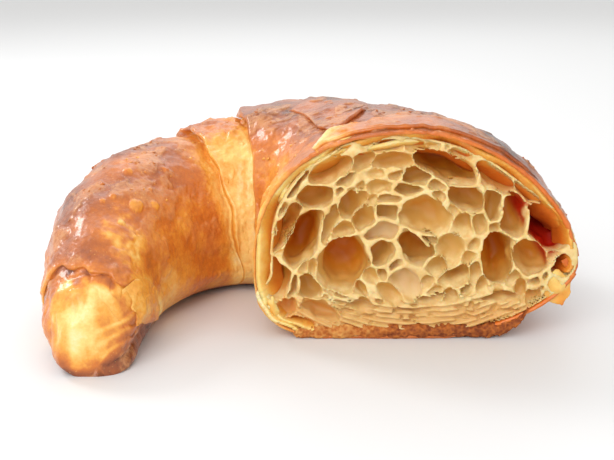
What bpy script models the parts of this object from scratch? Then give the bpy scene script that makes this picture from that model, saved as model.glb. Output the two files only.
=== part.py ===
"""Halved croissant: one baked piece, cut across its thick middle, resting on its flat foot.

A section of named width and height is carried along a bent midline, from the cut to the tip.
Rolls of dough step down one after another towards the tip, thin sheets lie over the top, and
the cut shows air cells between thin walls.

Lengths here are in millimetres. MM turns them into metres when a mesh is made. The working frame
has the cut in the plane y = 0, facing -Y, with the horn at its left, and the foot at z = 0.
"""

import math

import bmesh
import bpy
import numpy as np

MM = 0.001
NAME = "halved_croissant"

# Driving dimensions
CUT_HALF_WIDTH = 36.0
CUT_HEIGHT = 50.0           # nominal: the crown sinks a little towards the cut, see HEIGHTS
MIDLINE_LENGTH = 155.5
TURN = 197.0                # degrees that the midline turns from the cut to the tip
FIRST_HEADING = 86.0        # degrees from +X, at the cut
BEND_FOCUS = 0.565          # 0 bends evenly, 1 bends mostly half way along
BEND_WARP = 0.865           # under 1 moves the bend towards the cut
CUT_MIDDLE_X = 2.0
SQUARING_SHARE = 0.06       # share of the midline over which sections turn square to the cut

# Half width and height of the section by share of the midline, as shares of the two named above
HALF_WIDTHS = ((0, 1), (0.1, 0.98), (0.2, 0.92), (0.35, 0.78), (0.5, 0.65),
               (0.65, 0.52), (0.8, 0.39), (0.92, 0.31), (1, 0.26))
HEIGHTS = ((0, 0.965), (0.05, 0.975), (0.1, 0.95), (0.2, 0.93), (0.3, 0.92), (0.42, 0.88),
           (0.5, 0.81), (0.65, 0.73), (0.8, 0.62), (0.92, 0.46), (1, 0.32))
TIP_START = 0.93            # share of the midline where the blunt tip begins
TIP_BLUNTNESS = 3.5         # 2 is a round tip, more is blunter
WIDEST_SHARE = 0.37         # height of the widest line, as a share of the section's height

# Roundness of the section's quarters: 2 is an ellipse, more is squarer
TOP_LEFT_ROUNDNESS = 2.35
TOP_RIGHT_ROUNDNESS = 1.75
TOP_ROUNDNESS = 2.15
FOOT_LEFT_ROUNDNESS = 3.6
FOOT_RIGHT_ROUNDNESS = 1.8
FOOT_ROUNDNESS = 3.2
ROUNDNESS_FADE = 0.25       # share of the midline over which the cut's own roundness fades
FOOT_FLATTENING = 0.9       # how far the lowest points are cut off, to leave a flat foot

# The edge of each roll that lies over the next one: share of the midline by angle round the
# section, where 0 is the outer side, 90 the top and 180 the inner side of the bend
CROWN_EDGE = ((0, 0.455), (90, 0.474), (135, 0.475), (170, 0.49), (207, 0.475), (270, 0.46))
NECK_EDGE = ((0, 0.55), (90, 0.556), (135, 0.583), (172, 0.585), (207, 0.53), (270, 0.54))
ARM_EDGE = ((0, 0.9), (47, 0.915), (90, 0.945), (125, 0.955), (165, 0.9), (207, 0.84), (270, 0.87))

# For each roll: rings, swell of its middle, tuck under the roll before, rise at its own edge
ROLLS = ((21, 0.0, 0.0, 1.5), (6, 0.4, 1.9, 0.9), (18, 1.4, 2.1, 0.8), (8, 0.0, 0.5, 0.0))
# How strongly the crown stands over the neck, by angle: the inner side runs on almost level
CROWN_HOLD = ((0, 1.0), (95, 1.0), (150, 0.25), (207, 0.25), (270, 1.0))
EDGE_WEAR = 0.005           # how ragged those edges are, as a share of the midline
LEDGE_WIDTH = 0.035         # a ledge's own width, as a share of the roll that it starts
POINTS_ROUND = 40

# Long shallow waves over the whole crust: height, wavelength and direction of each
WAVES = ((0.28, 17.0, (0.8, 0.5, 0.3)), (0.22, 11.0, (-0.4, 0.8, 0.5)), (0.16, 7.5, (0.6, -0.3, 0.8)))

# The crust's front rim, which stands proud of the cut at the top
LIP = 1.5
LIP_WEAR = 0.6
CRUST = 1.5

# Air cells in the cut: middle x and z, half length, half height, tilt in degrees, depth factor.
# The outer ring comes first, from the left foot over the top and down the right side.
CELLS = (
    (-32.6, 20.0, 8.0, 1.4, 76, 0.8), (-28.8, 14.3, 3.9, 2.7, 100, 1.0),
    (-26.5, 26.0, 6.3, 1.4, 66, 1.0), (-22.7, 23.0, 6.7, 2.8, 63, 1.3),
    (-19.7, 33.0, 3.8, 2.5, 10, 1.0), (-16.8, 38.6, 5.0, 1.8, 24, 1.0),
    (-9.9, 40.6, 2.3, 1.5, 25, 0.8), (-3.7, 40.2, 3.7, 1.4, 8, 0.8),
    (1.8, 37.0, 3.4, 1.6, 0, 1.0), (7.6, 39.3, 7.0, 2.7, -22, 1.3),
    (18.6, 37.2, 4.5, 2.2, -38, 1.3), (12.8, 32.6, 4.0, 2.4, -30, 1.0),
    (18.8, 30.9, 3.2, 1.6, 95, 1.0), (23.1, 28.3, 4.8, 2.4, -78, 1.0),
    (25.8, 35.4, 4.8, 2.2, -40, 1.3), (31.6, 33.0, 4.2, 1.3, -52, 1.2),
    (30.6, 26.4, 5.8, 3.9, -58, 1.2), (34.2, 16.8, 2.3, 1.7, 60, 1.2),
    (27.6, 18.8, 4.0, 2.7, -38, 1.0),
    # the second ring, the same way round
    (-17.0, 27.0, 4.8, 1.0, 62, 0.8), (-12.4, 30.8, 3.3, 2.1, 40, 1.0),
    (-9.8, 28.0, 2.5, 2.1, 60, 0.8), (-4.5, 29.2, 2.6, 1.7, 10, 0.8),
    (-6.2, 34.6, 2.2, 0.9, 12, 0.8), (-0.4, 34.4, 2.8, 1.0, -3, 1.0),
    (-4.2, 32.0, 2.1, 0.9, 8, 0.8), (3.6, 28.9, 5.6, 3.4, -22, 0.6),
    (12.6, 26.6, 2.0, 1.8, 60, 0.8), (15.9, 27.2, 2.0, 1.1, 80, 0.8),
    (20.1, 18.6, 5.8, 3.2, -80, 1.2), (23.8, 14.2, 1.7, 1.0, 60, 0.8),
    # the large round cell at the left, and the small cells round the middle
    (-13.8, 17.6, 5.9, 5.2, 75, 0.9), (-14.4, 25.0, 2.1, 1.7, 20, 0.8),
    (-5.8, 24.4, 3.5, 2.4, 8, 0.5), (-5.6, 20.2, 2.9, 2.3, 30, 1.0),
    (2.2, 21.2, 3.8, 2.6, -38, 1.3), (5.0, 23.8, 2.0, 0.7, -30, 1.2),
    (-4.8, 15.8, 0.9, 0.9, 0, 1.5), (-2.8, 17.6, 1.9, 0.9, 80, 0.8),
    (0.2, 13.4, 4.2, 2.3, -42, 0.5), (-4.0, 11.0, 2.2, 1.3, -45, 0.8),
    (7.0, 16.9, 1.7, 1.3, 85, 1.0), (9.8, 21.0, 3.1, 2.4, 75, 0.6),
    (10.9, 14.7, 2.7, 1.5, 28, 1.2), (14.5, 22.0, 1.5, 0.9, 80, 1.0),
    (13.8, 18.6, 1.6, 0.9, 85, 0.8), (14.9, 15.2, 1.9, 1.2, 80, 0.8),
    # the foot, where the layers are pressed together
    (-21.6, 12.2, 2.8, 1.8, -45, 1.0), (-25.4, 12.2, 2.4, 0.7, 85, 1.0),
    (-26.4, 7.3, 2.2, 1.6, 60, 1.0), (-18.8, 6.4, 3.8, 1.3, -22, 0.8),
    (-24.0, 3.4, 3.4, 0.8, -12, 1.2), (-9.9, 8.2, 2.6, 0.5, -4, 1.0),
    (5.8, 9.4, 3.4, 0.5, 3, 1.0), (21.6, 9.4, 4.2, 0.6, 6, 1.0),
    # gaps between the sheets of the crust
    (-26.8, 33.9, 6.4, 0.9, 43, 1.2), (-16.0, 43.2, 6.2, 0.8, 32, 1.2),
    (-5.0, 43.7, 3.5, 1.1, 3, 1.2), (4.0, 46.5, 6.2, 1.0, -4, 1.4),
    (15.5, 43.6, 6.2, 0.9, -24, 1.4), (24.6, 39.2, 3.8, 0.7, -33, 1.2),
)
SMALLEST_CELL = 1.6         # half length times half height of the smallest cell made, square mm
CELL_GROWTH = 1.1           # how far a cell may swell past its stated size
CELL_WALL = 0.6             # thickness of the walls between cells
CELL_DEPTH = 1.6            # half depth of a cell, as a share of its mean half size
CELL_SET_BACK = 0.3         # how far the middle of a cell lies behind the cut, by half depth
CELL_SECTORS = 10
CUT_DEPTH = 0.3             # faces this close to the cut or to a cell are crumb
CELL_RINGS = 3              # rings of points behind the widest ring of a cell
CELL_MOUTH = 3.0            # how far a cutter stands out of the cut

# Sheets that lie over the crust, each by its four corners: share of the midline, angle. Each
# sheet is thinner towards its edges.
SHEETS = {
    "front_wrap": ((0.005, 124), (0.125, 93), (0.17, 40), (0.005, 35)),
    "apex": ((0.42, 97), (0.13, 116), (0.2, 96), (0.34, 62)),
    "tip_flap": ((0.965, 125), (0.845, 186), (0.86, 206), (0.975, 168)),
}
# Torn crust that stands at the cut's edge: how far it reaches behind the cut, then its outline
# in x and z. Each starts at FLAKE_FRONT.
FLAKES = {
    "low_right": (1.2, ((28.5, 9.5), (31.2, 7.2), (35.4, 7.8), (37.2, 13.0), (36.4, 17.5), (32.5, 16.0))),
    "high_right": (1.2, ((13.0, 47.0), (13.6, 49.6), (15.2, 50.0), (17.0, 48.4), (17.5, 45.5))),
    "foot_end": (14.0, ((18.0, 0.0), (22.8, 0.0), (25.8, 3.0), (27.7, 6.6), (25.5, 8.5), (19.0, 4.0))),
}
FLAKE_FRONT = -0.9
SHEET_RISE = 1.0
SHEET_DEPTH = 1.6           # how far a sheet reaches down into the crust
SHEET_STEPS = 5

# The footprint's middle in the working frame, which the finished piece is moved onto
FOOTPRINT_MIDDLE = (-22.3, 28.0)

CRUST_COLOUR = (0.52, 0.21, 0.05, 1.0)
CRUMB_COLOUR = (0.82, 0.62, 0.30, 1.0)


def smooth(share):
    """0 to 1 with level ends, for shares from 0 to 1."""
    share = np.clip(share, 0.0, 1.0)
    return share * share * (3.0 - 2.0 * share)


def along(stations, share):
    """A smooth curve through stations of (share, value), with no overshoot."""
    places = np.array([place for place, value in stations], float)
    values = np.array([value for place, value in stations], float)
    slopes = np.diff(values) / np.diff(places)
    joined = np.zeros(len(values))
    joined[1:-1] = np.where(slopes[1:] * slopes[:-1] > 0, (slopes[1:] + slopes[:-1]) / 2, 0)
    joined[0], joined[-1] = slopes[0], slopes[-1]
    share = np.clip(share, places[0], places[-1])
    index = np.clip(np.searchsorted(places, share, side="right") - 1, 0, len(slopes) - 1)
    width = places[index + 1] - places[index]
    part = (share - places[index]) / width
    start, end = values[index], values[index + 1]
    blend = part * part * (3 - 2 * part)
    lean = part * (1 - part) * width * (joined[index] * (1 - part) - joined[index + 1] * part)
    return start + (end - start) * blend + lean


def around(stations, degrees):
    """The value of a closed line of (angle, value) at each angle, smooth all the way round."""
    turned = [(angle + turn, value) for turn in (-360, 0, 360) for angle, value in stations]
    return along(turned, degrees)


def midline():
    """Shares from cut to tip, with the midline's x, y and heading at each."""
    steps = 400
    share = np.linspace(0.0, 1.0, steps + 1)
    warped = share ** BEND_WARP
    turned = warped - BEND_FOCUS * np.sin(2 * np.pi * warped) / (2 * np.pi)
    heading = np.radians(FIRST_HEADING + TURN * turned)
    step = MIDLINE_LENGTH / steps
    runs = [(turn(heading[1:]) + turn(heading[:-1])) * step / 2 for turn in (np.cos, np.sin)]
    x, y = (np.concatenate([[0], np.cumsum(run)]) for run in runs)
    return share, x + CUT_MIDDLE_X, y, heading


MIDLINE = midline()


def roundness(share, cosine, sine):
    fade = np.clip(share / ROUNDNESS_FADE, 0, 1)
    top_at_cut = np.where(cosine > 0, TOP_RIGHT_ROUNDNESS, TOP_LEFT_ROUNDNESS)
    foot_at_cut = np.where(cosine > 0, FOOT_RIGHT_ROUNDNESS, FOOT_LEFT_ROUNDNESS)
    top = top_at_cut + (TOP_ROUNDNESS - top_at_cut) * fade
    foot = foot_at_cut + (FOOT_ROUNDNESS - foot_at_cut) * fade
    return np.where(sine >= 0, top, foot)


def waves(points):
    total = np.zeros(points.shape[:-1])
    for height, length, direction in WAVES:
        total = total + height * np.sin(points @ np.array(direction) * (2 * np.pi / length))
    return total


def crust(share, degrees, lift=0.0):
    """Points on the crust at shares of the midline and angles round it, raised by lift."""
    share, degrees, lift = np.broadcast_arrays(share, degrees, lift)
    places, line_x, line_y, line_heading = MIDLINE
    centre_x = np.interp(share, places, line_x)
    centre_y = np.interp(share, places, line_y)
    heading = np.interp(share, places, line_heading)
    heading = math.pi / 2 + (heading - math.pi / 2) * smooth(share / SQUARING_SHARE)
    tip = np.clip((share - TIP_START) / (1 - TIP_START), 0, 1)
    closing = (1 - tip ** TIP_BLUNTNESS) ** (1 / TIP_BLUNTNESS)
    half_width = CUT_HALF_WIDTH * along(HALF_WIDTHS, share) * closing
    height = CUT_HEIGHT * along(HEIGHTS, share) * (0.25 + 0.75 * closing)
    widest = WIDEST_SHARE * height
    angle = np.radians(degrees)
    cosine, sine = np.cos(angle), np.sin(angle)
    power = 2 / roundness(share, cosine, sine)
    across = half_width * np.sign(cosine) * np.abs(cosine) ** power
    above = (height - widest) * np.abs(sine) ** power
    below = (widest + FOOT_FLATTENING) * np.abs(sine) ** power
    upward = np.where(sine >= 0, above, -below)
    reach = np.hypot(across, upward) + 1e-6
    side_x, side_y = np.sin(heading), -np.cos(heading)
    bare = np.stack([centre_x + side_x * across, centre_y + side_y * across, widest + upward], -1)
    hold = smooth((sine + 0.75) / 0.5) * closing
    lift = (lift + waves(bare) * smooth(share / SQUARING_SHARE)) * hold
    across = across * (1 + lift / reach)
    upward = upward * (1 + lift / reach)
    z = np.maximum(widest + upward, 0.0)
    return np.stack([centre_x + side_x * across, centre_y + side_y * across, z], -1)


def roll_lift(roll, part, degrees):
    """How far a roll stands off the plain section, by share of its own length and by angle."""
    rings, swell, tuck, rise = ROLLS[roll]
    hold = around(CROWN_HOLD, degrees)
    tuck = tuck * (hold if roll == 1 else 1.0)
    rise = rise * (hold if roll == 0 else 1.0)
    return swell * np.sin(np.pi * part) - tuck * (1 - part) ** 5 + rise * part ** 4


def roll_rings():
    """Rings of points from the cut to the tip, two at each ledge."""
    degrees = np.arange(POINTS_ROUND) * 360.0 / POINTS_ROUND
    edges = [np.zeros(POINTS_ROUND)]
    wear = EDGE_WEAR * np.sin(np.radians(degrees * 5)) * np.sin(np.radians(degrees * 8 + 60))
    edges += [around(edge, degrees) + wear for edge in (CROWN_EDGE, NECK_EDGE, ARM_EDGE)]
    edges += [np.ones(POINTS_ROUND)]
    rings = []
    for roll, (count, swell, tuck, rise) in enumerate(ROLLS):
        start = LEDGE_WIDTH if roll else 0.0
        for part in np.linspace(start, 1.0, count):
            share = edges[roll] + (edges[roll + 1] - edges[roll]) * part
            rings.append(crust(share, degrees, roll_lift(roll, part, degrees)))
    return rings


def rim_rings(first_ring):
    """The worn lip of the crust at the cut, from its inner foot outwards to the first ring."""
    degrees = np.arange(POINTS_ROUND) * 360.0 / POINTS_ROUND
    arch = smooth(np.sin(np.radians(degrees)) * 1.6)
    wear = LIP_WEAR * np.sin(np.radians(degrees * 7)) * np.sin(np.radians(degrees * 3 + 40))
    lip = 0.25 + (LIP + wear) * arch
    middle = np.array([CUT_MIDDLE_X, 0.0, WIDEST_SHARE * CUT_HEIGHT])
    outward = first_ring - middle
    outward /= np.linalg.norm(outward, axis=1, keepdims=True)
    forward = np.array([0.0, -1.0, 0.0])
    edge = first_ring + forward * lip[:, None] - outward * 0.3
    inner = first_ring + forward * (lip[:, None] - 0.3) - outward * CRUST
    foot = first_ring - outward * (CRUST + 0.3)
    for ring in (edge, inner, foot):
        ring[:, 2] = np.maximum(ring[:, 2], 0.0)
    foot[:, 1] = 0.0
    return [foot, inner, edge]


def mesh_object(name, points, faces):
    """A closed mesh, in metres, with its faces pointing out."""
    mesh = bpy.data.meshes.new(name)
    mesh.from_pydata([tuple(point * MM) for point in points], [], faces)
    shell = bmesh.new()
    shell.from_mesh(mesh)
    bmesh.ops.remove_doubles(shell, verts=shell.verts, dist=0.00001)
    bmesh.ops.dissolve_degenerate(shell, edges=shell.edges, dist=0.00001)
    bmesh.ops.recalc_face_normals(shell, faces=shell.faces)
    shell.to_mesh(mesh)
    shell.free()
    made = bpy.data.objects.new(name, mesh)
    bpy.context.scene.collection.objects.link(made)
    return made


def loft(name, rings):
    """A closed shape through rings of equally many points, with a flat face at each end."""
    count = len(rings[0])
    points = np.concatenate(rings)
    faces = []
    for ring in range(len(rings) - 1):
        for place in range(count):
            following = (place + 1) % count
            faces.append((ring * count + place, ring * count + following,
                          (ring + 1) * count + following, (ring + 1) * count + place))
    faces.append(tuple(range(count)))
    faces.append(tuple(range(len(points) - count, len(points))))
    return mesh_object(name, points, faces)


def baked_body():
    rings = roll_rings()
    return loft(NAME, rim_rings(rings[0]) + rings)


def sheet(name, corners):
    """A thin sheet draped over the crust between four corners, sunk into it below."""
    share, degrees = np.array(corners, float).T
    parts = np.linspace(0, 1, SHEET_STEPS + 1)
    u, v = np.meshgrid(parts, parts, indexing="ij")
    weights = ((1 - u) * (1 - v), u * (1 - v), u * v, (1 - u) * v)
    sheet_share = sum(weight * value for weight, value in zip(weights, share))
    sheet_degrees = sum(weight * value for weight, value in zip(weights, degrees))
    margin = np.minimum(np.minimum(u, 1 - u), np.minimum(v, 1 - v))
    rise = SHEET_RISE * (0.45 + 0.55 * smooth(margin * 4))
    top = crust(sheet_share, sheet_degrees, rise)
    bottom = crust(sheet_share, sheet_degrees, -SHEET_DEPTH)
    side = SHEET_STEPS + 1
    points = np.concatenate([top.reshape(-1, 3), bottom.reshape(-1, 3)])
    faces = []
    for i in range(SHEET_STEPS):
        for j in range(SHEET_STEPS):
            near, far = i * side + j, (i + 1) * side + j
            faces.append((near, far, far + 1, near + 1))
            faces.append(tuple(side * side + corner for corner in (near + 1, far + 1, far, near)))
    border = [i * side for i in range(SHEET_STEPS)]
    border += [SHEET_STEPS * side + j for j in range(SHEET_STEPS)]
    border += [i * side + SHEET_STEPS for i in range(SHEET_STEPS, 0, -1)]
    border += [j for j in range(SHEET_STEPS, 0, -1)]
    for first, second in zip(border, border[1:] + border[:1]):
        faces.append((first, second, second + side * side, first + side * side))
    return mesh_object(name, points, faces)


def flake(name, back, outline):
    """A plate at the cut with a flat front, fused to the crust behind it."""
    count = len(outline)
    points = np.array([(x, y, z) for y in (FLAKE_FRONT, back) for x, z in outline])
    faces = [tuple(range(count)), tuple(range(2 * count - 1, count - 1, -1))]
    for place in range(count):
        following = (place + 1) % count
        faces.append((place, place + count, following + count, following))
    return mesh_object(name, points, faces)


def cell_depth(cell):
    x, z, half_length, half_height, tilt, deep = cell
    return CELL_DEPTH * deep * math.sqrt(half_length * half_height)


def cell_middle(cell):
    return np.array([cell[0], CELL_SET_BACK * cell_depth(cell), cell[1]])


def cell_reach(cell, directions):
    """How far the cell's ellipsoid reaches in each unit direction."""
    x, z, half_length, half_height, tilt, deep = cell
    turn = math.radians(tilt)
    lengthwise = directions[..., 0] * math.cos(turn) + directions[..., 2] * math.sin(turn)
    upright = directions[..., 2] * math.cos(turn) - directions[..., 0] * math.sin(turn)
    inward = directions[..., 1] / cell_depth(cell)
    return 1 / np.sqrt((lengthwise / half_length) ** 2 + (upright / half_height) ** 2 + inward ** 2)


def cell_gap(cell, points):
    """Distance from each point to the cell's ellipsoid, less than 0 inside it."""
    away = points - cell_middle(cell)
    distance = np.linalg.norm(away, axis=-1) + 1e-9
    return distance - cell_reach(cell, away / distance[..., None])


def under_crust(points):
    """Whether points lie in the crumb, inside the cut's crust."""
    x, z = points[..., 0] - CUT_MIDDLE_X, points[..., 2] - WIDEST_SHARE * CUT_HEIGHT
    power = roundness(0.0, x, z)
    half_width = CUT_HALF_WIDTH - CRUST - 0.6
    top = CUT_HEIGHT * (1 - WIDEST_SHARE) - CRUST - 0.6
    foot = CUT_HEIGHT * WIDEST_SHARE - CRUST
    upright = np.where(z >= 0, z / top, -z / foot)
    return np.abs(x / half_width) ** power + upright ** power < 1


def cell_cutter(index, made_cells):
    """A closed pocket shape that swells until it meets the walls round it."""
    cell = made_cells[index]
    others = [other for place, other in enumerate(made_cells) if place != index]
    middle = cell_middle(cell)
    turns = np.arange(CELL_SECTORS) * 2 * np.pi / CELL_SECTORS + math.radians(cell[4])
    stretch = cell[3] / cell[2]
    spread = np.arctan2(np.sin(turns - turns[0]) * math.sqrt(stretch), np.cos(turns - turns[0])) + turns[0]
    flat = np.stack([np.cos(spread), np.zeros(CELL_SECTORS), np.sin(spread)], -1)
    rings = []
    for ring in range(CELL_RINGS + 1):
        rise = 0.5 * math.pi * ring / (CELL_RINGS + 0.6)
        directions = flat * math.cos(rise) + np.array([0, math.sin(rise), 0])
        reach = cell_reach(cell, directions) + CELL_GROWTH * math.cos(rise)
        tries = np.linspace(0.1, 1.0, 46)[:, None]
        points = middle + directions * (reach * tries)[..., None]
        own = cell_gap(cell, points)
        clear = under_crust(points)
        for other in others:
            clear = clear & (cell_gap(other, points) - own > CELL_WALL)
        blocked = ~clear
        last = np.where(blocked.any(axis=0), blocked.argmax(axis=0), len(tries) - 1)
        last = np.maximum(last, 1)
        rings.append(middle + directions * (reach * tries[last, 0])[:, None])
    mouth = rings[0] * np.array([1, 0, 1]) + np.array([0, -CELL_MOUTH, 0])
    return loft("cell_cutter", [mouth] + rings)


def apply_boolean(body, operation, others):
    """Joins others to the body or cuts them from it, and removes them.

    The exact solver leaves faces folded on each other where two sheets cross, so this is the
    manifold one.
    """
    group = bpy.data.collections.new(operation.lower())
    bpy.context.scene.collection.children.link(group)
    for other in others:
        bpy.context.scene.collection.objects.unlink(other)
        group.objects.link(other)
    modifier = body.modifiers.new(operation.lower(), "BOOLEAN")
    modifier.operation = operation
    modifier.operand_type = "COLLECTION"
    modifier.collection = group
    modifier.solver = "MANIFOLD"
    graph = bpy.context.evaluated_depsgraph_get()
    result = bpy.data.meshes.new_from_object(body.evaluated_get(graph))
    body.modifiers.clear()
    body.data = result
    for other in others:
        bpy.data.objects.remove(other, do_unlink=True)
    bpy.data.collections.remove(group)


def connected_piece(start, unseen):
    """The vertices joined to start by edges, taken out of unseen."""
    unseen.discard(start)
    piece, waiting = [start], [start]
    while waiting:
        vertex = waiting.pop()
        joined = {edge.other_vert(vertex) for edge in vertex.link_edges} & unseen
        unseen -= joined
        piece.extend(joined)
        waiting.extend(joined)
    return piece


def drop_scraps(body):
    """Keeps the largest connected piece of the mesh."""
    shell = bmesh.new()
    shell.from_mesh(body.data)
    unseen = set(shell.verts)
    pieces = []
    while unseen:
        pieces.append(connected_piece(next(iter(unseen)), unseen))
    pieces.sort(key=len)
    scraps = [vertex for piece in pieces[:-1] for vertex in piece]
    bmesh.ops.delete(shell, geom=scraps, context="VERTS")
    shell.to_mesh(body.data)
    shell.free()


def cut_cells(body):
    made_cells = [cell for cell in CELLS if cell[2] * cell[3] >= SMALLEST_CELL]
    cutters = [cell_cutter(index, made_cells) for index in range(len(made_cells))]
    apply_boolean(body, "DIFFERENCE", cutters)


def material(name, colour, roughness):
    made = bpy.data.materials.new(name)
    made.use_nodes = True
    shader = made.node_tree.nodes["Principled BSDF"]
    shader.inputs["Base Color"].default_value = colour
    shader.inputs["Roughness"].default_value = roughness
    shader.inputs["Metallic"].default_value = 0.0
    made.diffuse_color = colour
    return made


def colour_faces(body):
    """Crust outside, and crumb on the cut and in its cells."""
    made_cells = [cell for cell in CELLS if cell[2] * cell[3] >= SMALLEST_CELL]
    body.data.materials.clear()
    body.data.materials.append(material("baked_crust", CRUST_COLOUR, 0.35))
    body.data.materials.append(material("open_crumb", CRUMB_COLOUR, 0.6))
    middles = np.array([face.center for face in body.data.polygons]) / MM
    nearest = np.min([cell_gap(cell, middles) for cell in made_cells], axis=0)
    on_cut = np.abs(middles[:, 1]) < CUT_DEPTH
    in_cell = (nearest < CELL_GROWTH + CUT_DEPTH) & (middles[:, 1] > 0)
    is_crumb = under_crust(middles) & (on_cut | in_cell)
    body.data.polygons.foreach_set("material_index", is_crumb.astype(np.int32))


def place_on_footprint(body):
    shift = (-FOOTPRINT_MIDDLE[0] * MM, -FOOTPRINT_MIDDLE[1] * MM, 0.0)
    for vertex in body.data.vertices:
        vertex.co = [place + move for place, move in zip(vertex.co, shift)]


def clear_scene():
    for existing in list(bpy.data.objects):
        bpy.data.objects.remove(existing, do_unlink=True)


def main():
    clear_scene()
    body = baked_body()
    laid_on = [sheet(name, corners) for name, corners in SHEETS.items()]
    laid_on += [flake(name, back, outline) for name, (back, outline) in FLAKES.items()]
    apply_boolean(body, "UNION", laid_on)
    cut_cells(body)
    drop_scraps(body)
    colour_faces(body)
    place_on_footprint(body)
    body.data.shade_smooth()
    body.data.set_sharp_from_angle(angle=math.radians(40))


main()
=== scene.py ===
"""Looks of the halved croissant: browned layered crust, open crumb, torn sheets, studio light.

Lengths are in millimetres in the croissant's working frame, with the cut in the plane y = 0 and
the foot at z = 0. MM and FOOTPRINT_MIDDLE take them to the frame's metres when a mesh is made.
"""

import math

import bpy
import numpy as np
from mathutils import Matrix, Vector


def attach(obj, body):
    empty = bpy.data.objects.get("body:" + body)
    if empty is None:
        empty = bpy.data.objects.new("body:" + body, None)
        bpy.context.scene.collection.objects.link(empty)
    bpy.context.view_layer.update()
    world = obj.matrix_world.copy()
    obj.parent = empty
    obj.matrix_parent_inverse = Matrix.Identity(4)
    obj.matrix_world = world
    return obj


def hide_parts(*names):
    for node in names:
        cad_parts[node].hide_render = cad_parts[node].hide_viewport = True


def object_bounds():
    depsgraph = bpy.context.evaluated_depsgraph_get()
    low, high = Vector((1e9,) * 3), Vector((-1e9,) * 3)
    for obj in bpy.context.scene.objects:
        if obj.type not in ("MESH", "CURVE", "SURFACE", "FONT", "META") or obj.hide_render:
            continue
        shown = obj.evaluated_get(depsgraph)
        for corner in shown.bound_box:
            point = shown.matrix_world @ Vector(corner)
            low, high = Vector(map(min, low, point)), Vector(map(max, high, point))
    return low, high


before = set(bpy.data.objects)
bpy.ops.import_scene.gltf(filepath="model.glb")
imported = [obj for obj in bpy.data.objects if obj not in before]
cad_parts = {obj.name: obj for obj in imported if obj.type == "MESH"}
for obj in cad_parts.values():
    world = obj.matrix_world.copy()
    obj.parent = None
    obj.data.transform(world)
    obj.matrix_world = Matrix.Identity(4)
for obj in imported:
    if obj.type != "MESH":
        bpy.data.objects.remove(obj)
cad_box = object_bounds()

MM = 0.001
NODE = "halved_croissant"
FOOTPRINT_MIDDLE = (-22.3, 28.0)

# Driving dimensions of the shape, as in the solid
CUT_HALF_WIDTH = 36.0
CUT_HEIGHT = 50.0
CUT_MIDDLE_X = 2.0
MIDLINE_LENGTH = 155.5
TURN = 197.0                # degrees that the midline turns through from the cut to the tip
FIRST_HEADING = 86.0
BEND_FOCUS = 0.565          # how much of the turn lies in the middle of the length
BEND_WARP = 0.865           # below 1 brings the bend nearer to the cut
SQUARING_SHARE = 0.06       # over this share of the length the sections turn to face the cut

# The section: half width and height, as shares of the cut's, at shares of the midline's length
HALF_WIDTHS = ((0, 1), (0.1, 0.98), (0.2, 0.92), (0.35, 0.78), (0.5, 0.65),
               (0.65, 0.52), (0.8, 0.39), (0.92, 0.31), (1, 0.26))
HEIGHTS = ((0, 0.965), (0.05, 0.975), (0.1, 0.95), (0.2, 0.93), (0.3, 0.92), (0.42, 0.88),
           (0.5, 0.81), (0.65, 0.73), (0.8, 0.62), (0.92, 0.46), (1, 0.32))
TIP_START = 0.93
TIP_BLUNTNESS = 3.5
WIDEST_SHARE = 0.37         # height of the widest place, as a share of the section's height
TOP_LEFT_ROUNDNESS = 2.35
TOP_RIGHT_ROUNDNESS = 1.75
TOP_ROUNDNESS = 2.15
FOOT_LEFT_ROUNDNESS = 3.6
FOOT_RIGHT_ROUNDNESS = 1.8
FOOT_ROUNDNESS = 3.2
ROUNDNESS_FADE = 0.25       # over this share of the length the roundness at the cut fades out
FOOT_FLATTENING = 0.9

# Where each roll ends, by angle round the section, as a share of the midline's length
CROWN_EDGE = ((0, 0.455), (90, 0.474), (135, 0.475), (170, 0.49), (207, 0.475), (270, 0.46))
NECK_EDGE = ((0, 0.55), (90, 0.556), (135, 0.583), (172, 0.585), (207, 0.53), (270, 0.54))
ARM_EDGE = ((0, 0.9), (47, 0.915), (90, 0.945), (125, 0.955), (165, 0.9), (207, 0.84), (270, 0.87))
EDGE_WEAR = 0.005
EDGE_TEARS = (0.0035, 0.0035, 0.0065)

# The rolls in order from the cut. For each: swell of its middle, tuck under the roll before, rise
# at its own edge. CROWN_HOLD says how much of that tuck and rise is left along the crown's edge
CROWN, NECK, ARM, TIP = range(4)
ROLLS = ((0.0, 0.0, 1.5), (0.4, 1.9, 0.9), (1.4, 2.1, 0.35), (0.0, 0.3, 0.0))
CROWN_HOLD = ((0, 1.0), (95, 1.0), (150, 0.25), (207, 0.25), (270, 1.0))
# Rows that turn under a roll's overhanging edge: how far on along the midline, how deep
LEDGES = {
    CROWN: ((0.0025, 0.9), (-0.004, 1.6), (-0.02, 3.0)),
    NECK: ((0.004, 0.8), (-0.004, 1.6)),
    ARM: ((0.0015, 0.25), (0.0, 0.5)),
}

# Broad waves of the whole crust: height, length, direction
WAVES = ((0.28, 17.0, (0.8, 0.5, 0.3)), (0.22, 11.0, (-0.4, 0.8, 0.5)), (0.16, 7.5, (0.6, -0.3, 0.8)))
SKIN = -0.35                # the whole crust stays this far inside the solid, for its relief
ARM_SWELL = 1.2             # about how far the arm stands off the plain section half way along

# How finely the crust is made
CROWN_COLUMNS = 470
CROWN_ROWS = 180
HORN_COLUMNS = 330
NECK_ROWS = 62
ARM_ROWS = 150
TIP_ROWS = 60

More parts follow.
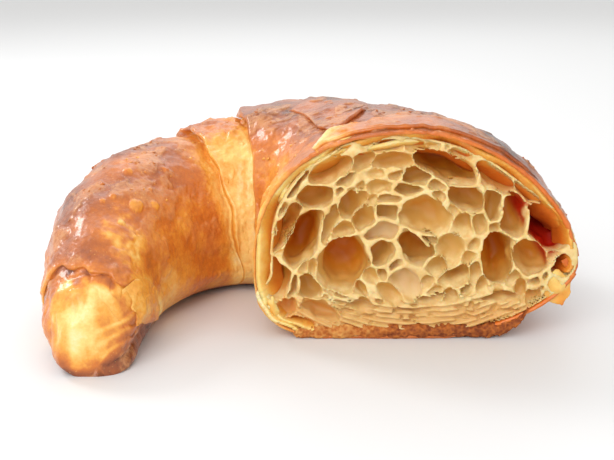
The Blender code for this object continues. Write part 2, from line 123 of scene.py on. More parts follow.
# How brown each roll is round its section, from 0 for cream to 1 for dark brown
BROWNING = (
    ((0, 0.8), (60, 0.88), (105, 0.86), (124, 0.68), (140, 0.54), (170, 0.46), (205, 0.43), (270, 0.6)),
    ((0, 0.5), (60, 0.66), (100, 0.62), (120, 0.43), (160, 0.3), (205, 0.33), (270, 0.5)),
    ((0, 0.62), (60, 0.78), (110, 0.76), (140, 0.6), (170, 0.52), (205, 0.5), (270, 0.6)),
    ((0, 0.3), (60, 0.14), (100, 0.02), (140, 0.08), (170, 0.3), (200, 0.45), (270, 0.5)),
)
DARKEST = 0.9
# Each roll is paler where the roll before covered it: how much, and over what share of its length
COVERED = ((0.0, 1.0), (0.12, 0.5), (0.26, 0.2), (0.0, 1.0))
FOOT_BROWNING = (0.55, 0.55, 0.55, 0.3)
FOOT_BROWNING_HEIGHT = 2.4
# The higher this is, the more of the roll has a thin flaky skin
FILM_LEVEL = (-0.02, -0.05, 0.06, -0.5)

# Noises: how much of each, the size of its lumps, its seed
LATTICE = 32
BROWNING_NOISE = ((0.10, 9.0, 5), (0.07, 3.0, 6))
FILM_NOISE = ((1.0, 5.5, 41), (0.6, 2.3, 42), (0.35, 1.0, 43))
WRINKLES = ((0.16, 2.4, 51), (0.09, 1.2, 52), (0.05, 0.65, 53))
FOOT_GRAIN = ((0.3, 2.1, 81), (0.3, 1.0, 82), (0.3, 0.55, 83))
FACE_NOISE = ((0.8, 7.0, 33), (0.5, 3.0, 36))

# Points are scaled by these for noises that are drawn out upwards
UPRIGHT_FOLDS = np.array([1.4, 1.4, 0.22])
UPRIGHT_STREAKS = np.array([1.5, 1.5, 0.3])
UPRIGHT_CREASES = np.array([1.5, 1.5, 0.35])

# The tip: middle and reach of its cream patch, middle and radii of its layers' ends, its undercut
PALE_TIP = (-69.5, -18.0, 9.4)
PALE_TIP_REACH = (6.0, 9.0, 6.4)
FOLD_MIDDLE = (-59.0, 1.8)
FOLD_RADII = (5.4, 7.8, 10.0)
FOLD_STEP = 0.55
UNDERCUT = 3.2

# Large blisters on the arm: share of the midline, angle, radius
LARGE_BLISTERS = ((0.815, 119, 1.7), (0.79, 132, 1.2), (0.75, 98, 1.2), (0.818, 98, 0.8),
                  (0.83, 91, 0.8), (0.698, 118, 0.9), (0.86, 112, 0.9), (0.77, 122, 0.6))
BLISTER_PALENESS = 0.16

# Where the arm is paler: share of the midline, angle, radius, how much
PALE_PATCHES = ((0.88, 112, 6.5, 0.3), (0.9, 130, 4.5, 0.22), (0.72, 92, 5.0, 0.16),
                (0.83, 104, 3.0, 0.2))

# Small shapes that the node tree scatters: how many to a square metre, and their radius
SHAPE_CORNERS = 6
SHAPE_RINGS = 2
CHIPS = 500000.0
CHIP_SIZES = (0.22, 0.6)
BLISTERS = 60000.0
BLISTER_SIZES = (0.2, 0.5)

# The crown is a cup of crust that holds the crumb
CRUST_WALL = 0.9
CUP_DEPTH = 21.0
CUP_FRONT = 3.5
CUP_ROWS = 12
CUP_ORANGE_AND_PAINTED_GLOW = 0.85            # how much orange the cup and the cut edge have, partly painted glow
EDGE_ORANGE_AND_PAINTED_GLOW = 0.35           # and the first rows of the outside
VISOR_DROOP = 0.4           # how far the crown's front edge hangs down over the crumb
VISOR_REACH = 1.1           # and how far it stands out in front of the cut
EDGE_TEAR = 0.45            # height of the ragged line along a torn edge
SHEET_EDGE = 0.7            # thickness of a sheet of crust where its edge shows
# The crown's cut edge, from the inside out: inset, distance behind the foremost line
CUT_EDGE = ((CRUST_WALL + 0.2, 2.5), (CRUST_WALL, 0.8), (SHEET_EDGE, 0.1))

# Thin sheets over the crust: corners by share and angle, swing of two edges in degrees, which
# edges stand clear, browning of the corners, rise, seed
DRAPED_SHEETS = {
    "front_wrap": (((0.004, 126), (0.125, 95), (0.17, 40), (0.004, 35)), (5, 0), (1, 0, 0, 1),
                   (0.1, 0.3, 0.98, 1.02), 0.35, 80),
    "apex_sheet": (((0.42, 97), (0.13, 117), (0.2, 96), (0.34, 62)), (9, 0), (1, 1, 0, 0),
                   (0.82, 0.78, 0.8, 0.9), 0.9, 80),
    "tip_flap": (((0.965, 125), (0.845, 186), (0.86, 206), (0.975, 168)), (3, 0), (1, 0, 0, 0),
                 (0.3, 0.5, 0.55, 0.4), 0.45, 78),
}
DRAPED_GRID = (150, 90)
DRAPED_TUCK = 0.45          # how far below the crust a held edge ends
DRAPED_CURL = 0.22          # how much a free edge lifts

# Sheets round the cut: angles of both ends, insets at both, slant, front, browning, seed
RIM_SHEETS = {
    "rim_sheet_outer": (100, 214, (0.6, 0.5), 5.0, -0.5, 0.4, 105),
    "rim_sheet_middle": (84, 160, (2.6, 2.0), 3.4, 0.2, 0.36, 106),
    "rim_sheet_right": (-16, 52, (0.8, 0.9), 2.6, -0.2, 0.56, 105),
    "rim_sheet_visor": (14, 128, (0.8, 0.7), 5.6, -0.3, 0.6, 105),
    "rim_sheet_corner": (184, 240, (0.9, 0.5), 2.2, -0.9, 0.3, 106),
    "rim_sheet_foot_left": (196, 246, (2.1, 1.6), 1.8, -0.4, 0.3, 109),
}
RIM_SHEET_DEPTH = 6.5
RIM_SHEET_GRID = (260, 16)

# Torn flakes in the plane of the cut: outline of x and z, front, browning, seed
FLAKES = {
    "flake_low_right": (((30.8, 14.6), (33.5, 16.4), (36.4, 13.6), (36.6, 9.9), (35.1, 7.7),
                         (31.7, 8.7), (30.4, 11.3)), -0.4, 0.42, 15),
    "flake_right": (((34.2, 18.0), (36.9, 19.4), (37.6, 15.6), (36.2, 14.4)), 0.2, 0.6, 11),
    "flake_low_left": (((-31.0, 9.4), (-29.4, 9.8), (-27.8, 6.2), (-28.6, 4.6), (-30.0, 6.4)),
                       -0.5, 0.3, 14),
}
FLAKE_THICKNESS = 0.45
FLAKE_COLUMNS = 96
FLAKE_ROWS = 16

# The baked foot along the cut: places of x and z on its middle line, from left to right
FOOT_LINE = ((-25.5, 1.5), (-22.0, 1.3), (0.0, 1.5), (17.0, 1.6), (23.0, 2.4), (26.0, 4.6), (27.4, 7.0))
FOOT_HALF_HEIGHT = 1.55
FOOT_HALF_DEPTH = 1.5
FOOT_SET_BACK = 0.75
FOOT_COLUMNS = 44
FOOT_ROWS = 330

# Air cells in the cut, as in the solid: middle x and z, half length, half height, tilt, depth
CELLS = (
    (-32.6, 20.0, 8.0, 1.4, 76, 0.8), (-28.8, 14.3, 3.9, 2.7, 100, 1.0),
    (-26.5, 26.0, 6.3, 1.4, 66, 1.0), (-22.7, 23.0, 6.7, 2.8, 63, 1.3),
    (-19.7, 33.0, 3.8, 2.5, 10, 1.0), (-16.8, 38.6, 5.0, 1.8, 24, 1.0),
    (-9.9, 40.6, 2.3, 1.5, 25, 0.8), (-3.7, 40.2, 3.7, 1.4, 8, 0.8),
    (1.8, 37.0, 3.4, 1.6, 0, 1.0), (7.6, 39.3, 7.0, 2.7, -22, 1.3),
    (18.6, 37.2, 4.5, 2.2, -38, 1.3), (12.8, 32.6, 4.0, 2.4, -30, 1.0),
    (18.8, 30.9, 3.2, 1.6, 95, 1.0), (23.1, 28.3, 4.8, 2.4, -78, 1.0),
    (25.8, 35.4, 4.8, 2.2, -40, 1.3), (31.6, 33.0, 4.2, 1.3, -52, 1.2),
    (30.6, 26.4, 5.8, 3.9, -58, 1.2), (34.2, 16.8, 2.3, 1.7, 60, 1.2),
    (27.6, 18.8, 4.0, 2.7, -38, 1.0),
    (-17.0, 27.0, 4.8, 1.0, 62, 0.8), (-12.4, 30.8, 3.3, 2.1, 40, 1.0),
    (-9.8, 28.0, 2.5, 2.1, 60, 0.8), (-4.5, 29.2, 2.6, 1.7, 10, 0.8),
    (-6.2, 34.6, 2.2, 0.9, 12, 0.8), (-0.4, 34.4, 2.8, 1.0, -3, 1.0),
    (-4.2, 32.0, 2.1, 0.9, 8, 0.8), (3.6, 28.9, 5.6, 3.4, -22, 0.6),
    (12.6, 26.6, 2.0, 1.8, 60, 0.8), (15.9, 27.2, 2.0, 1.1, 80, 0.8),
    (20.1, 18.6, 5.8, 3.2, -80, 1.2), (23.8, 14.2, 1.7, 1.0, 60, 0.8),
    (-13.8, 17.6, 5.9, 5.2, 75, 0.9), (-14.4, 25.0, 2.1, 1.7, 20, 0.8),
    (-5.8, 24.4, 3.5, 2.4, 8, 0.5), (-5.6, 20.2, 2.9, 2.3, 30, 1.0),
    (2.2, 21.2, 3.8, 2.6, -38, 1.3), (5.0, 23.8, 2.0, 0.7, -30, 1.2),
    (-4.8, 15.8, 0.9, 0.9, 0, 1.5), (-2.8, 17.6, 1.9, 0.9, 80, 0.8),
    (0.2, 13.4, 4.2, 2.3, -42, 0.5), (-4.0, 11.0, 2.2, 1.3, -45, 0.8),
    (7.0, 16.9, 1.7, 1.3, 85, 1.0), (9.8, 21.0, 3.1, 2.4, 75, 0.6),
    (10.9, 14.7, 2.7, 1.5, 28, 1.2), (14.5, 22.0, 1.5, 0.9, 80, 1.0),
    (13.8, 18.6, 1.6, 0.9, 85, 0.8), (14.9, 15.2, 1.9, 1.2, 80, 0.8),
    (-21.6, 12.2, 2.8, 1.8, -45, 1.0), (-25.4, 12.2, 2.4, 0.7, 85, 1.0),
    (-26.4, 7.3, 2.2, 1.6, 60, 1.0), (-18.8, 6.4, 3.8, 1.3, -22, 0.8),
    (-24.0, 3.4, 3.4, 0.8, -12, 1.2), (-9.9, 8.2, 2.6, 0.5, -4, 1.0),
    (5.8, 9.4, 3.4, 0.5, 3, 1.0), (21.6, 9.4, 4.2, 0.6, 6, 1.0),
    (-26.8, 33.9, 6.4, 0.9, 43, 0.8), (-16.0, 43.2, 6.2, 0.8, 32, 1.2),
    (-5.0, 43.7, 3.5, 1.1, 3, 1.2), (4.0, 46.5, 6.2, 1.0, -4, 1.4),
    (15.5, 43.6, 6.2, 0.9, -24, 1.4), (24.6, 39.2, 3.8, 0.7, -33, 1.2),
)
FAR = 9.0                   # further than any distance that matters in the crumb
CELL_REACH = 4.1            # how far round a cell the crumb's walls depend on it
CRUMB_GROWTH = 0.35         # how much wider the cells are than measured
CELL_WALL = 0.5             # least thickness of a wall between cells
CELL_DEPTH = 1.6            # in mean half sizes of the cell
VEIL_DEPTH = 0.5            # a cell this shallow has a thin pale skin at its back
CELL_SET_BACK = 0.3
MOUTH_FLARE = 0.75          # how much wider a cell opens at the cut than inside
CRUMB_STEP = 0.36           # of the grid that the crumb is worked out on
CRUMB_DEPTH = 17.5
CRUMB_SIDES = (-36.0, 40.0)
CRUMB_FRONT = -1.8
CRUMB_HEIGHTS = (0.2, 51.0)
CRUMB_TRIANGLES = 190000
PORES = 150
SLITS = 46
FILLER_TRIES = 900
FILLER_ROOM = 0.7           # between a small seeded cell and its neighbours
SPIRAL_HEIGHT = 20.0        # the dough's turns run round this height above the foot
LAYER_HEIGHT = 1.3          # of the pressed layers near the foot
LAYER_BOW = 0.012           # how much they curve up towards the sides
SLOT_ABOVE = 2.9            # between the crumb and the crown
SLOT_LEFT = 3.8             # between the crumb and the wall on its left
HOLE_SEED = 7
FILLER_SEED = 17


def smooth(share):
    share = np.clip(share, 0.0, 1.0)
    return share * share * (3.0 - 2.0 * share)


def along(stations, share):
    """A smooth curve through stations of (share, value), with no overshoot."""
    places = np.array([place for place, value in stations], float)
    values = np.array([value for place, value in stations], float)
    slopes = np.diff(values) / np.diff(places)
    joined = np.zeros(len(values))
    joined[1:-1] = np.where(slopes[1:] * slopes[:-1] > 0, (slopes[1:] + slopes[:-1]) / 2, 0)
    joined[0], joined[-1] = slopes[0], slopes[-1]
    share = np.clip(share, places[0], places[-1])
    index = np.clip(np.searchsorted(places, share, side="right") - 1, 0, len(slopes) - 1)
    width = places[index + 1] - places[index]
    part = (share - places[index]) / width
    start, end = values[index], values[index + 1]
    blend = part * part * (3 - 2 * part)
    lean = part * (1 - part) * width * (joined[index] * (1 - part) - joined[index + 1] * part)
    return start + (end - start) * blend + lean


def around(stations, degrees):
    """The value of a closed line of (angle, value) at each angle."""
    turned = [(angle + turn, value) for turn in (-360, 0, 360) for angle, value in stations]
    return along(turned, degrees)


def cloud(points, size, seed):
    """Soft noise from -1 to 1 with lumps of about the given size."""
    lattice = np.random.default_rng(seed).uniform(-1, 1, (LATTICE, LATTICE, LATTICE))
    place = np.asarray(points) / size
    base = np.floor(place)
    part = smooth(place - base)
    index = base.astype(int) % LATTICE
    total = np.zeros(place.shape[:-1])
    for corner in range(8):
        step = np.array([corner & 1, corner >> 1 & 1, corner >> 2 & 1])
        weight = np.prod(np.where(step, part, 1 - part), axis=-1)
        at = (index + step) % LATTICE
        total += weight * lattice[at[..., 0], at[..., 1], at[..., 2]]
    return total


def layered(points, layers):
    """Sum of noises: for each, how much of it, the size of its lumps and its seed."""
    return sum(amount * cloud(points, size, seed) for amount, size, seed in layers)


def hill(away, reach):
    """1 at no distance, falling to 0 either side of it over about twice the reach."""
    return np.exp(-(away / reach) ** 2)


def fading(away, reach):
    """1 up to no distance, then falling towards 0 over a few times the reach."""
    return np.exp(-np.maximum(away, 0.0) / reach)


def section(columns):
    """Angles round the section, for that many points."""
    return np.arange(columns) * 360.0 / columns


def torn(degrees, height, seed, finest=48):
    """A ragged line round the section, in seeded waves of falling height."""
    draw = np.random.default_rng(seed)
    total = np.zeros(np.shape(degrees))
    wave = 2
    while wave < finest:
        phase = draw.uniform(0, 2 * np.pi)
        total = total + np.sin(np.radians(degrees) * wave + phase) / wave ** 0.6
        wave = int(wave * 1.5) + 1
    return height * total * 0.6


def midline():
    """Shares from cut to tip, with the midline's x, y and heading at each."""
    steps = 400
    share = np.linspace(0.0, 1.0, steps + 1)
    warped = share ** BEND_WARP
    turned = warped - BEND_FOCUS * np.sin(2 * np.pi * warped) / (2 * np.pi)
    heading = np.radians(FIRST_HEADING + TURN * turned)
    step = MIDLINE_LENGTH / steps
    runs = [(turn(heading[1:]) + turn(heading[:-1])) * step / 2 for turn in (np.cos, np.sin)]
    x, y = (np.concatenate([[0], np.cumsum(run)]) for run in runs)
    return share, x + CUT_MIDDLE_X, y, heading


MIDLINE = midline()


def roundness(share, cosine, sine):
    fade = np.clip(share / ROUNDNESS_FADE, 0, 1)
    top_at_cut = np.where(cosine > 0, TOP_RIGHT_ROUNDNESS, TOP_LEFT_ROUNDNESS)
    foot_at_cut = np.where(cosine > 0, FOOT_RIGHT_ROUNDNESS, FOOT_LEFT_ROUNDNESS)
    top = top_at_cut + (TOP_ROUNDNESS - top_at_cut) * fade
    foot = foot_at_cut + (FOOT_ROUNDNESS - foot_at_cut) * fade
    return np.where(sine >= 0, top, foot)


def waves(points):
    total = np.zeros(points.shape[:-1])
    for height, length, direction in WAVES:
        total = total + height * np.sin(points @ np.array(direction) * (2 * np.pi / length))
    return total


def crust(share, degrees, lift=0.0, inset=0.0):
    """Points on the crust at shares of the midline and angles round it.

    lift raises the surface and fades out towards the foot. inset moves it inwards all round.
    """
    share, degrees, lift, inset = np.broadcast_arrays(share, degrees, lift, inset)
    places, line_x, line_y, line_heading = MIDLINE
    centre_x = np.interp(share, places, line_x)
    centre_y = np.interp(share, places, line_y)
    heading = np.interp(share, places, line_heading)
    heading = math.pi / 2 + (heading - math.pi / 2) * smooth(share / SQUARING_SHARE)
    tip = np.clip((share - TIP_START) / (1 - TIP_START), 0, 1)
    closing = (1 - tip ** TIP_BLUNTNESS) ** (1 / TIP_BLUNTNESS)
    half_width = CUT_HALF_WIDTH * along(HALF_WIDTHS, share) * closing
    height = CUT_HEIGHT * along(HEIGHTS, share) * (0.25 + 0.75 * closing)
    widest = WIDEST_SHARE * height
    angle = np.radians(degrees)
    cosine, sine = np.cos(angle), np.sin(angle)
    power = 2 / roundness(share, cosine, sine)
    across = half_width * np.sign(cosine) * np.abs(cosine) ** power
    above = (height - widest) * np.abs(sine) ** power
    below = (widest + FOOT_FLATTENING) * np.abs(sine) ** power
    upward = np.where(sine >= 0, above, -below)
    reach = np.hypot(across, upward) + 1e-6
    side_x, side_y = np.sin(heading), -np.cos(heading)
    bare = np.stack([centre_x + side_x * across, centre_y + side_y * across, widest + upward], -1)
    hold = smooth((sine + 0.75) / 0.5) * closing
    lift = (lift + waves(bare) * smooth(share / SQUARING_SHARE)) * hold
    scale = np.maximum(1 + (lift + SKIN - inset) / reach, 0.02)
    z = np.maximum(widest + upward * scale, inset)
    across = across * scale
    return np.stack([centre_x + side_x * across, centre_y + side_y * across, z], -1)


def roll_lift(roll, part, degrees):
    """How far a roll stands off the plain section, by share of its own length and by angle."""
    swell, tuck, rise = ROLLS[roll]
    hold = around(CROWN_HOLD, degrees)
    tuck = tuck * (hold if roll == NECK else 1.0)
    rise = rise * (hold if roll == CROWN else 1.0)
    part = np.clip(part, 0, 1)
    return swell * np.sin(np.pi * part) - tuck * (1 - part) ** 5 + rise * part ** 4


def edge_lines(degrees):
    """The share at which each roll starts, then where the last one ends, at each angle."""
    wear = EDGE_WEAR * np.sin(np.radians(degrees * 5)) * np.sin(np.radians(degrees * 8 + 60))
    lines = [np.zeros(len(degrees))]
    for number, edge in enumerate((CROWN_EDGE, NECK_EDGE, ARM_EDGE)):
        lines.append(around(edge, degrees) + wear + torn(degrees, EDGE_TEARS[number], 11 + number))
    return lines + [np.ones(len(degrees))]


# Meshes

def to_frame(points):
    """Working millimetres to the frame's metres, kept inside the solid's box."""
    moved = (np.asarray(points, float) - np.array([*FOOTPRINT_MIDDLE, 0.0])) * MM
    low, high = (np.array(corner) for corner in cad_box)
    return np.clip(moved, low, high)


def mesh_of(name, points, faces, attributes=None, place=to_frame):
    """An object made from arrays of working points and of faces, with values for its points."""
    faces = np.asarray(faces, np.int32)
    if signed_volume(points, faces) < 0:
        faces = faces[:, ::-1]
    mesh = bpy.data.meshes.new(name)
    mesh.vertices.add(len(points))
    mesh.vertices.foreach_set("co", place(points).astype(np.float32).ravel())
    mesh.loops.add(faces.size)
    mesh.loops.foreach_set("vertex_index", faces.ravel())
    mesh.polygons.add(len(faces))
    mesh.polygons.foreach_set("loop_start", np.arange(len(faces), dtype=np.int32) * faces.shape[1])
    mesh.polygons.foreach_set("loop_total", np.full(len(faces), faces.shape[1], np.int32))
    for key, values in (attributes or {}).items():
        store(mesh, key, values)
    mesh.update(calc_edges=True)
    mesh.validate()
    mesh.shade_smooth()
    made = bpy.data.objects.new(name, mesh)
    bpy.context.scene.collection.objects.link(made)
    return made


def signed_volume(points, faces):
    """Six times the volume inside a closed mesh, less than 0 where its faces point inwards."""
    corners = np.asarray(points, float)[faces]
    total = np.einsum("ij,ij->", corners[:, 0], np.cross(corners[:, 1], corners[:, 2]))
    if faces.shape[1] == 4:
        total += np.einsum("ij,ij->", corners[:, 0], np.cross(corners[:, 2], corners[:, 3]))
    return total


def store(mesh, key, values):
    layer = mesh.attributes.get(key) or mesh.attributes.new(key, "FLOAT", "POINT")
    layer.data.foreach_set("value", np.asarray(values, np.float32).ravel())


def stored(mesh, key):
    values = np.empty(len(mesh.vertices), np.float32)
    mesh.attributes[key].data.foreach_get("value", values)
    return values


def working_points(mesh):
    """The mesh's points, back in working millimetres."""
    points = np.empty(len(mesh.vertices) * 3, np.float32)
    mesh.vertices.foreach_get("co", points)
    return points.reshape(-1, 3).astype(float) / MM + np.array([*FOOTPRINT_MIDDLE, 0.0])


def closed_tube(name, rows, attributes=None, place=to_frame):
    """A closed mesh through rows of points, from the middle of the first to that of the last."""
    rows = np.asarray(rows)
    count, columns = rows.shape[:2]
    middles = [rows[0].mean(axis=0), rows[-1].mean(axis=0)]
    points = np.concatenate([rows.reshape(-1, 3), middles])
    ring = np.arange(columns)
    following = (ring + 1) % columns
    start = np.arange(count - 1)[:, None] * columns
    quads = np.stack([start + ring, start + following, start + columns + following,
                      start + columns + ring], -1).reshape(-1, 4)
    last = (count - 1) * columns
    start_middle = np.full(columns, count * columns)
    fans = np.concatenate([np.stack([start_middle, following, ring], -1),
                           np.stack([start_middle + 1, last + ring, last + following], -1)])
    triangles = np.concatenate([quads[:, [0, 1, 2]], quads[:, [0, 2, 3]], fans])
    values = {}
    for key, value in (attributes or {}).items():
        value = np.asarray(value)
        values[key] = np.concatenate([value.ravel(), [value[0].mean(), value[-1].mean()]])
    return mesh_of(name, points, triangles, values, place)


# Node trees

class Link:
    """A node's output socket, so that sums and products of it read as Python expressions."""

    def __init__(self, maker, socket):
        self.maker = maker
        self.socket = socket

    def maths(self, operation, first, second):
        return self.maker.node("ShaderNodeMath", {"operation": operation}, {0: first, 1: second})

    def __add__(self, other):
        return self.maths("ADD", self, other)

    def __radd__(self, other):
        return self.maths("ADD", other, self)

    def __sub__(self, other):
        return self.maths("SUBTRACT", self, other)

    def __rsub__(self, other):
        return self.maths("SUBTRACT", other, self)

    def __mul__(self, other):
        return self.maths("MULTIPLY", self, other)

    def __rmul__(self, other):
        return self.maths("MULTIPLY", other, self)


class Maker:
    """Adds nodes to one tree."""

    def __init__(self, tree):
        self.tree = tree

    def node(self, kind, settings=None, inputs=None, output=0):
        made = self.tree.nodes.new(kind)
        for key, value in (settings or {}).items():
            if key == "stops":
                self.set_stops(made.color_ramp, value)
            else:
                setattr(made, key, value)
        for key, value in (inputs or {}).items():
            if isinstance(value, Link):
                self.tree.links.new(value.socket, made.inputs[key])
            else:
                made.inputs[key].default_value = value
        return Link(self, made.outputs[output]) if len(made.outputs) else made

    @staticmethod
    def set_stops(ramp, stops):
        while len(ramp.elements) < len(stops):
            ramp.elements.new(0.5)
        for element, (place, colour) in zip(ramp.elements, stops):
            element.position = place
            element.color = (*colour, 1.0)

    def mix(self, factor, first, second):
        """A colour between two colours."""
        first, second = ((*c, 1.0) if isinstance(c, tuple) else c for c in (first, second))
        settings = {"data_type": "RGBA", "clamp_factor": True}
        return self.node("ShaderNodeMix", settings, {0: factor, 6: first, 7: second}, 2)

    def between(self, value, low, high):
        """0 below low, 1 above high and smooth between."""
        settings = {"interpolation_type": "SMOOTHSTEP"}
        return self.node("ShaderNodeMapRange", settings, {0: value, 1: low, 2: high})

    def attribute(self, name):
        return self.node("ShaderNodeAttribute", {"attribute_name": name}, None, "Fac")

    def place(self):
        """The point on the piece, in millimetres."""
        coordinates = self.node("ShaderNodeTexCoord", None, None, "Object")
        inputs = {0: coordinates, "Scale": 1 / MM}
        return self.node("ShaderNodeVectorMath", {"operation": "SCALE"}, inputs)

    def noise(self, place, size, detail=3.0, roughness=0.55, distortion=0.0):
        inputs = {"Vector": place, "Scale": 1 / size, "Detail": detail, "Roughness": roughness,
                  "Distortion": distortion}
        return self.node("ShaderNodeTexNoise", {"noise_dimensions": "3D"}, inputs)

    def lumps(self, place, size):
        return self.node("ShaderNodeTexVoronoi", {"feature": "F1"}, {"Vector": place, "Scale": 1 / size})

    def bump(self, height, strength, distance):
        inputs = {"Height": height, "Strength": strength, "Distance": distance * MM}
        return self.node("ShaderNodeBump", None, inputs)


def display(red, green, blue):
    """A colour as a screen shows it, 0 to 255, turned into the linear values of a shader."""
    def linear(value):
        value = value / 255
        return value / 12.92 if value <= 0.04045 else ((value + 0.055) / 1.055) ** 2.4
    return tuple(linear(value) for value in (red, green, blue))


# The crust from its palest to its darkest, its loose skin, and the orange of its cut edge, partly
# painted glow
CREAM = display(252, 236, 190)
STRAW = display(246, 206, 120)
GOLD = display(234, 162, 62)
AMBER = display(206, 116, 38)
TAN = display(172, 92, 40)
BROWN = display(130, 66, 34)
DARK = display(80, 36, 20)
SKIN_COLOUR = display(216, 154, 98)
INNER_ORANGE_AND_PAINTED_GLOW = display(222, 108, 26)
SHEET_ORANGE = display(216, 112, 30)
SHEET_BROWN = display(150, 48, 10)

# The grains of the baked foot
GRAIN_DARK = display(84, 34, 10)
GRAIN_BROWN = display(132, 62, 20)
GRAIN_GOLD = display(182, 102, 36)
GRAIN_PALE = display(222, 164, 88)

# The crumb, from its cut edges to the painted shade deep in its cells, with a red that is partly painted
# glow
CRUMB_CREAM = display(236, 212, 152)
CRUMB_STRAW = display(220, 184, 116)
CRUMB_OCHRE = display(208, 160, 82)
CRUMB_HONEY = display(214, 138, 34)
CRUMB_ORANGE = display(240, 146, 30)
CRUMB_VEIL = display(226, 196, 150)
CRUMB_DEEP_SHADE = display(200, 110, 14)
CRUMB_RED_AND_PAINTED_GLOW = display(178, 26, 0)


def food_material(name, surface, subsurface, radius, coat):
    """A Principled material. surface gives its colour, its roughness and its normal from a Maker."""
    made = bpy.data.materials.new(name)
    made.use_nodes = True
    tree = made.node_tree
    tree.nodes.clear()
    maker = Maker(tree)
    colour, roughness, normal = surface(maker)
    shader = maker.node("ShaderNodeBsdfPrincipled", {"subsurface_method": "RANDOM_WALK"}, {
        "Base Color": colour,
        "Normal": normal,
        "Roughness": roughness,
        "Subsurface Weight": subsurface,
        "Subsurface Radius": (1.0, 0.45, 0.18),
        "Subsurface Scale": radius * MM,
        "Coat Weight": coat,
        "Coat Roughness": 0.16,
        "IOR": 1.42,
    })
    maker.node("ShaderNodeOutputMaterial", None, {"Surface": shader})
    return made


def crust_surface(maker):
    """Glazed crust: pale in the creases, golden on the sides, mottled brown on the rolls."""
    place = maker.place()
    brown = maker.attribute("browning")
    skin = maker.attribute("film")
    broad = maker.noise(place, 12.0, 3.0, 0.5)
    patches = maker.noise(place, 4.0, 6.0, 0.65, 0.8)
    fine = maker.noise(place, 0.9, 4.0, 0.6)
    level = brown + (broad - 0.5) * 0.42 + (patches - 0.5) * 0.3 + (fine - 0.5) * 0.24
    stops = ((0.0, CREAM), (0.24, STRAW), (0.42, GOLD), (0.58, AMBER), (0.76, TAN), (0.92, BROWN),
             (1.0, DARK))
    base = maker.node("ShaderNodeValToRGB", {"stops": stops}, {0: level})
    mottled = maker.between(maker.noise(place, 1.6, 6.0, 0.75, 0.6), 0.36, 0.62)
    lifted = skin * maker.between(brown, 0.45, 0.72) * (0.1 + mottled * 0.5)
    skinned = maker.mix(lifted, base, SKIN_COLOUR)
    # Pale flecks on the browner crust: partly real flakes, partly painted glints
    flecks_and_glints = maker.between(maker.lumps(place, 0.9), 0.2, 0.08) * maker.between(patches, 0.42, 0.58)
    flecked_and_glinting = maker.mix(flecks_and_glints * maker.between(brown, 0.5, 0.75) * 0.35, skinned, STRAW)
    # Orange of the cut edge, the cup and the sheets' undersides, partly painted glow
    orange_and_painted_glow_mixed = maker.mix(maker.attribute("ember"), flecked_and_glinting, INNER_ORANGE_AND_PAINTED_GLOW)
    wrinkles = maker.noise(place, 1.2, 5.0, 0.6, 0.5)
    normal = maker.bump(wrinkles + fine * 0.6, 0.6, 0.3)
    roughness = 0.3 + skin * 0.16 + fine * 0.14
    return orange_and_painted_glow_mixed, roughness, normal


def crumb_surface(maker):
    """Waxy crumb: pale cut edges, ochre walls further in, orange to red near the crust. It darkens
    deeper in the cells and on faces that look down, which is painted shade; the red is partly painted
    glow.
    """
    place = maker.place()
    depth = maker.attribute("depth")
    warmth = maker.attribute("warmth")
    noise = maker.noise(place, 2.2, 4.0, 0.6)
    fine = maker.noise(place, 0.5, 3.0, 0.6)
    level = depth + (noise - 0.5) * 0.14
    pale = maker.mix(maker.between(noise, 0.3, 0.7), CRUMB_CREAM, CRUMB_STRAW)
    ochre = maker.mix(maker.between(level, 0.02, 0.3), pale, CRUMB_OCHRE)
    deep = maker.mix(maker.between(level, 0.3, 0.85), ochre, CRUMB_HONEY)
    warm = maker.mix(warmth * maker.between(level, 0.02, 0.35), deep, CRUMB_ORANGE)
    veiled = maker.mix(maker.attribute("veil") * (0.5 + noise * 0.5), warm, CRUMB_VEIL)
    deep_shaded = maker.mix(maker.between(level, 0.75, 1.05), veiled, CRUMB_DEEP_SHADE)
    # Red near the crust's top and in the upper right corner, partly painted glow
    red = maker.between(maker.attribute("ember"), 0.3, 0.85) * maker.between(level, 0.02, 0.3)
    red_and_painted_glow_mixed = maker.mix(red, deep_shaded, CRUMB_RED_AND_PAINTED_GLOW)
    normal = maker.bump(noise * 0.6 + fine * 0.4, 0.35, 0.25)
    return red_and_painted_glow_mixed, 0.5, normal


def foot_surface(maker):
    """The rough underside: brown granules with lighter crumbs between them."""
    place = maker.place()
    grain = maker.attribute("grain")
    grains = maker.lumps(place, 0.8)
    noise = maker.noise(place, 2.0, 4.0, 0.6)
    stops = ((0.0, GRAIN_DARK), (0.35, GRAIN_BROWN), (0.62, GRAIN_GOLD), (1.0, GRAIN_PALE))
    level = grain * 0.3 + grains * 0.35 + noise * 0.5
    colour = maker.node("ShaderNodeValToRGB", {"stops": stops}, {0: level})
    return colour, 0.75, maker.bump(grains, 0.6, 0.4)


def sheet_surface(maker):
    """A thin torn sheet: translucent orange and brown, paler at its edges."""
    place = maker.place()
    brown = maker.attribute("browning")
    noise = maker.noise(place, 3.0, 4.0, 0.6)
    stops = ((0.0, CREAM), (0.25, STRAW), (0.45, GOLD), (0.7, SHEET_ORANGE), (1.0, SHEET_BROWN))
    colour = maker.node("ShaderNodeValToRGB", {"stops": stops}, {0: brown + (noise - 0.5) * 0.3})
    return colour, 0.4, maker.bump(maker.noise(place, 1.0, 4.0, 0.6), 0.4, 0.25)


CRUST_MATERIAL = food_material("glazed_crust", crust_surface, 0.08, 1.0, 0.45)
CRUMB_MATERIAL = food_material("waxy_crumb", crumb_surface, 0.4, 1.8, 0.05)
FOOT_MATERIAL = food_material("rough_foot", foot_surface, 0.1, 1.0, 0.0)
SHEET_MATERIAL = food_material("torn_sheet", sheet_surface, 0.35, 1.6, 0.15)


# Crust

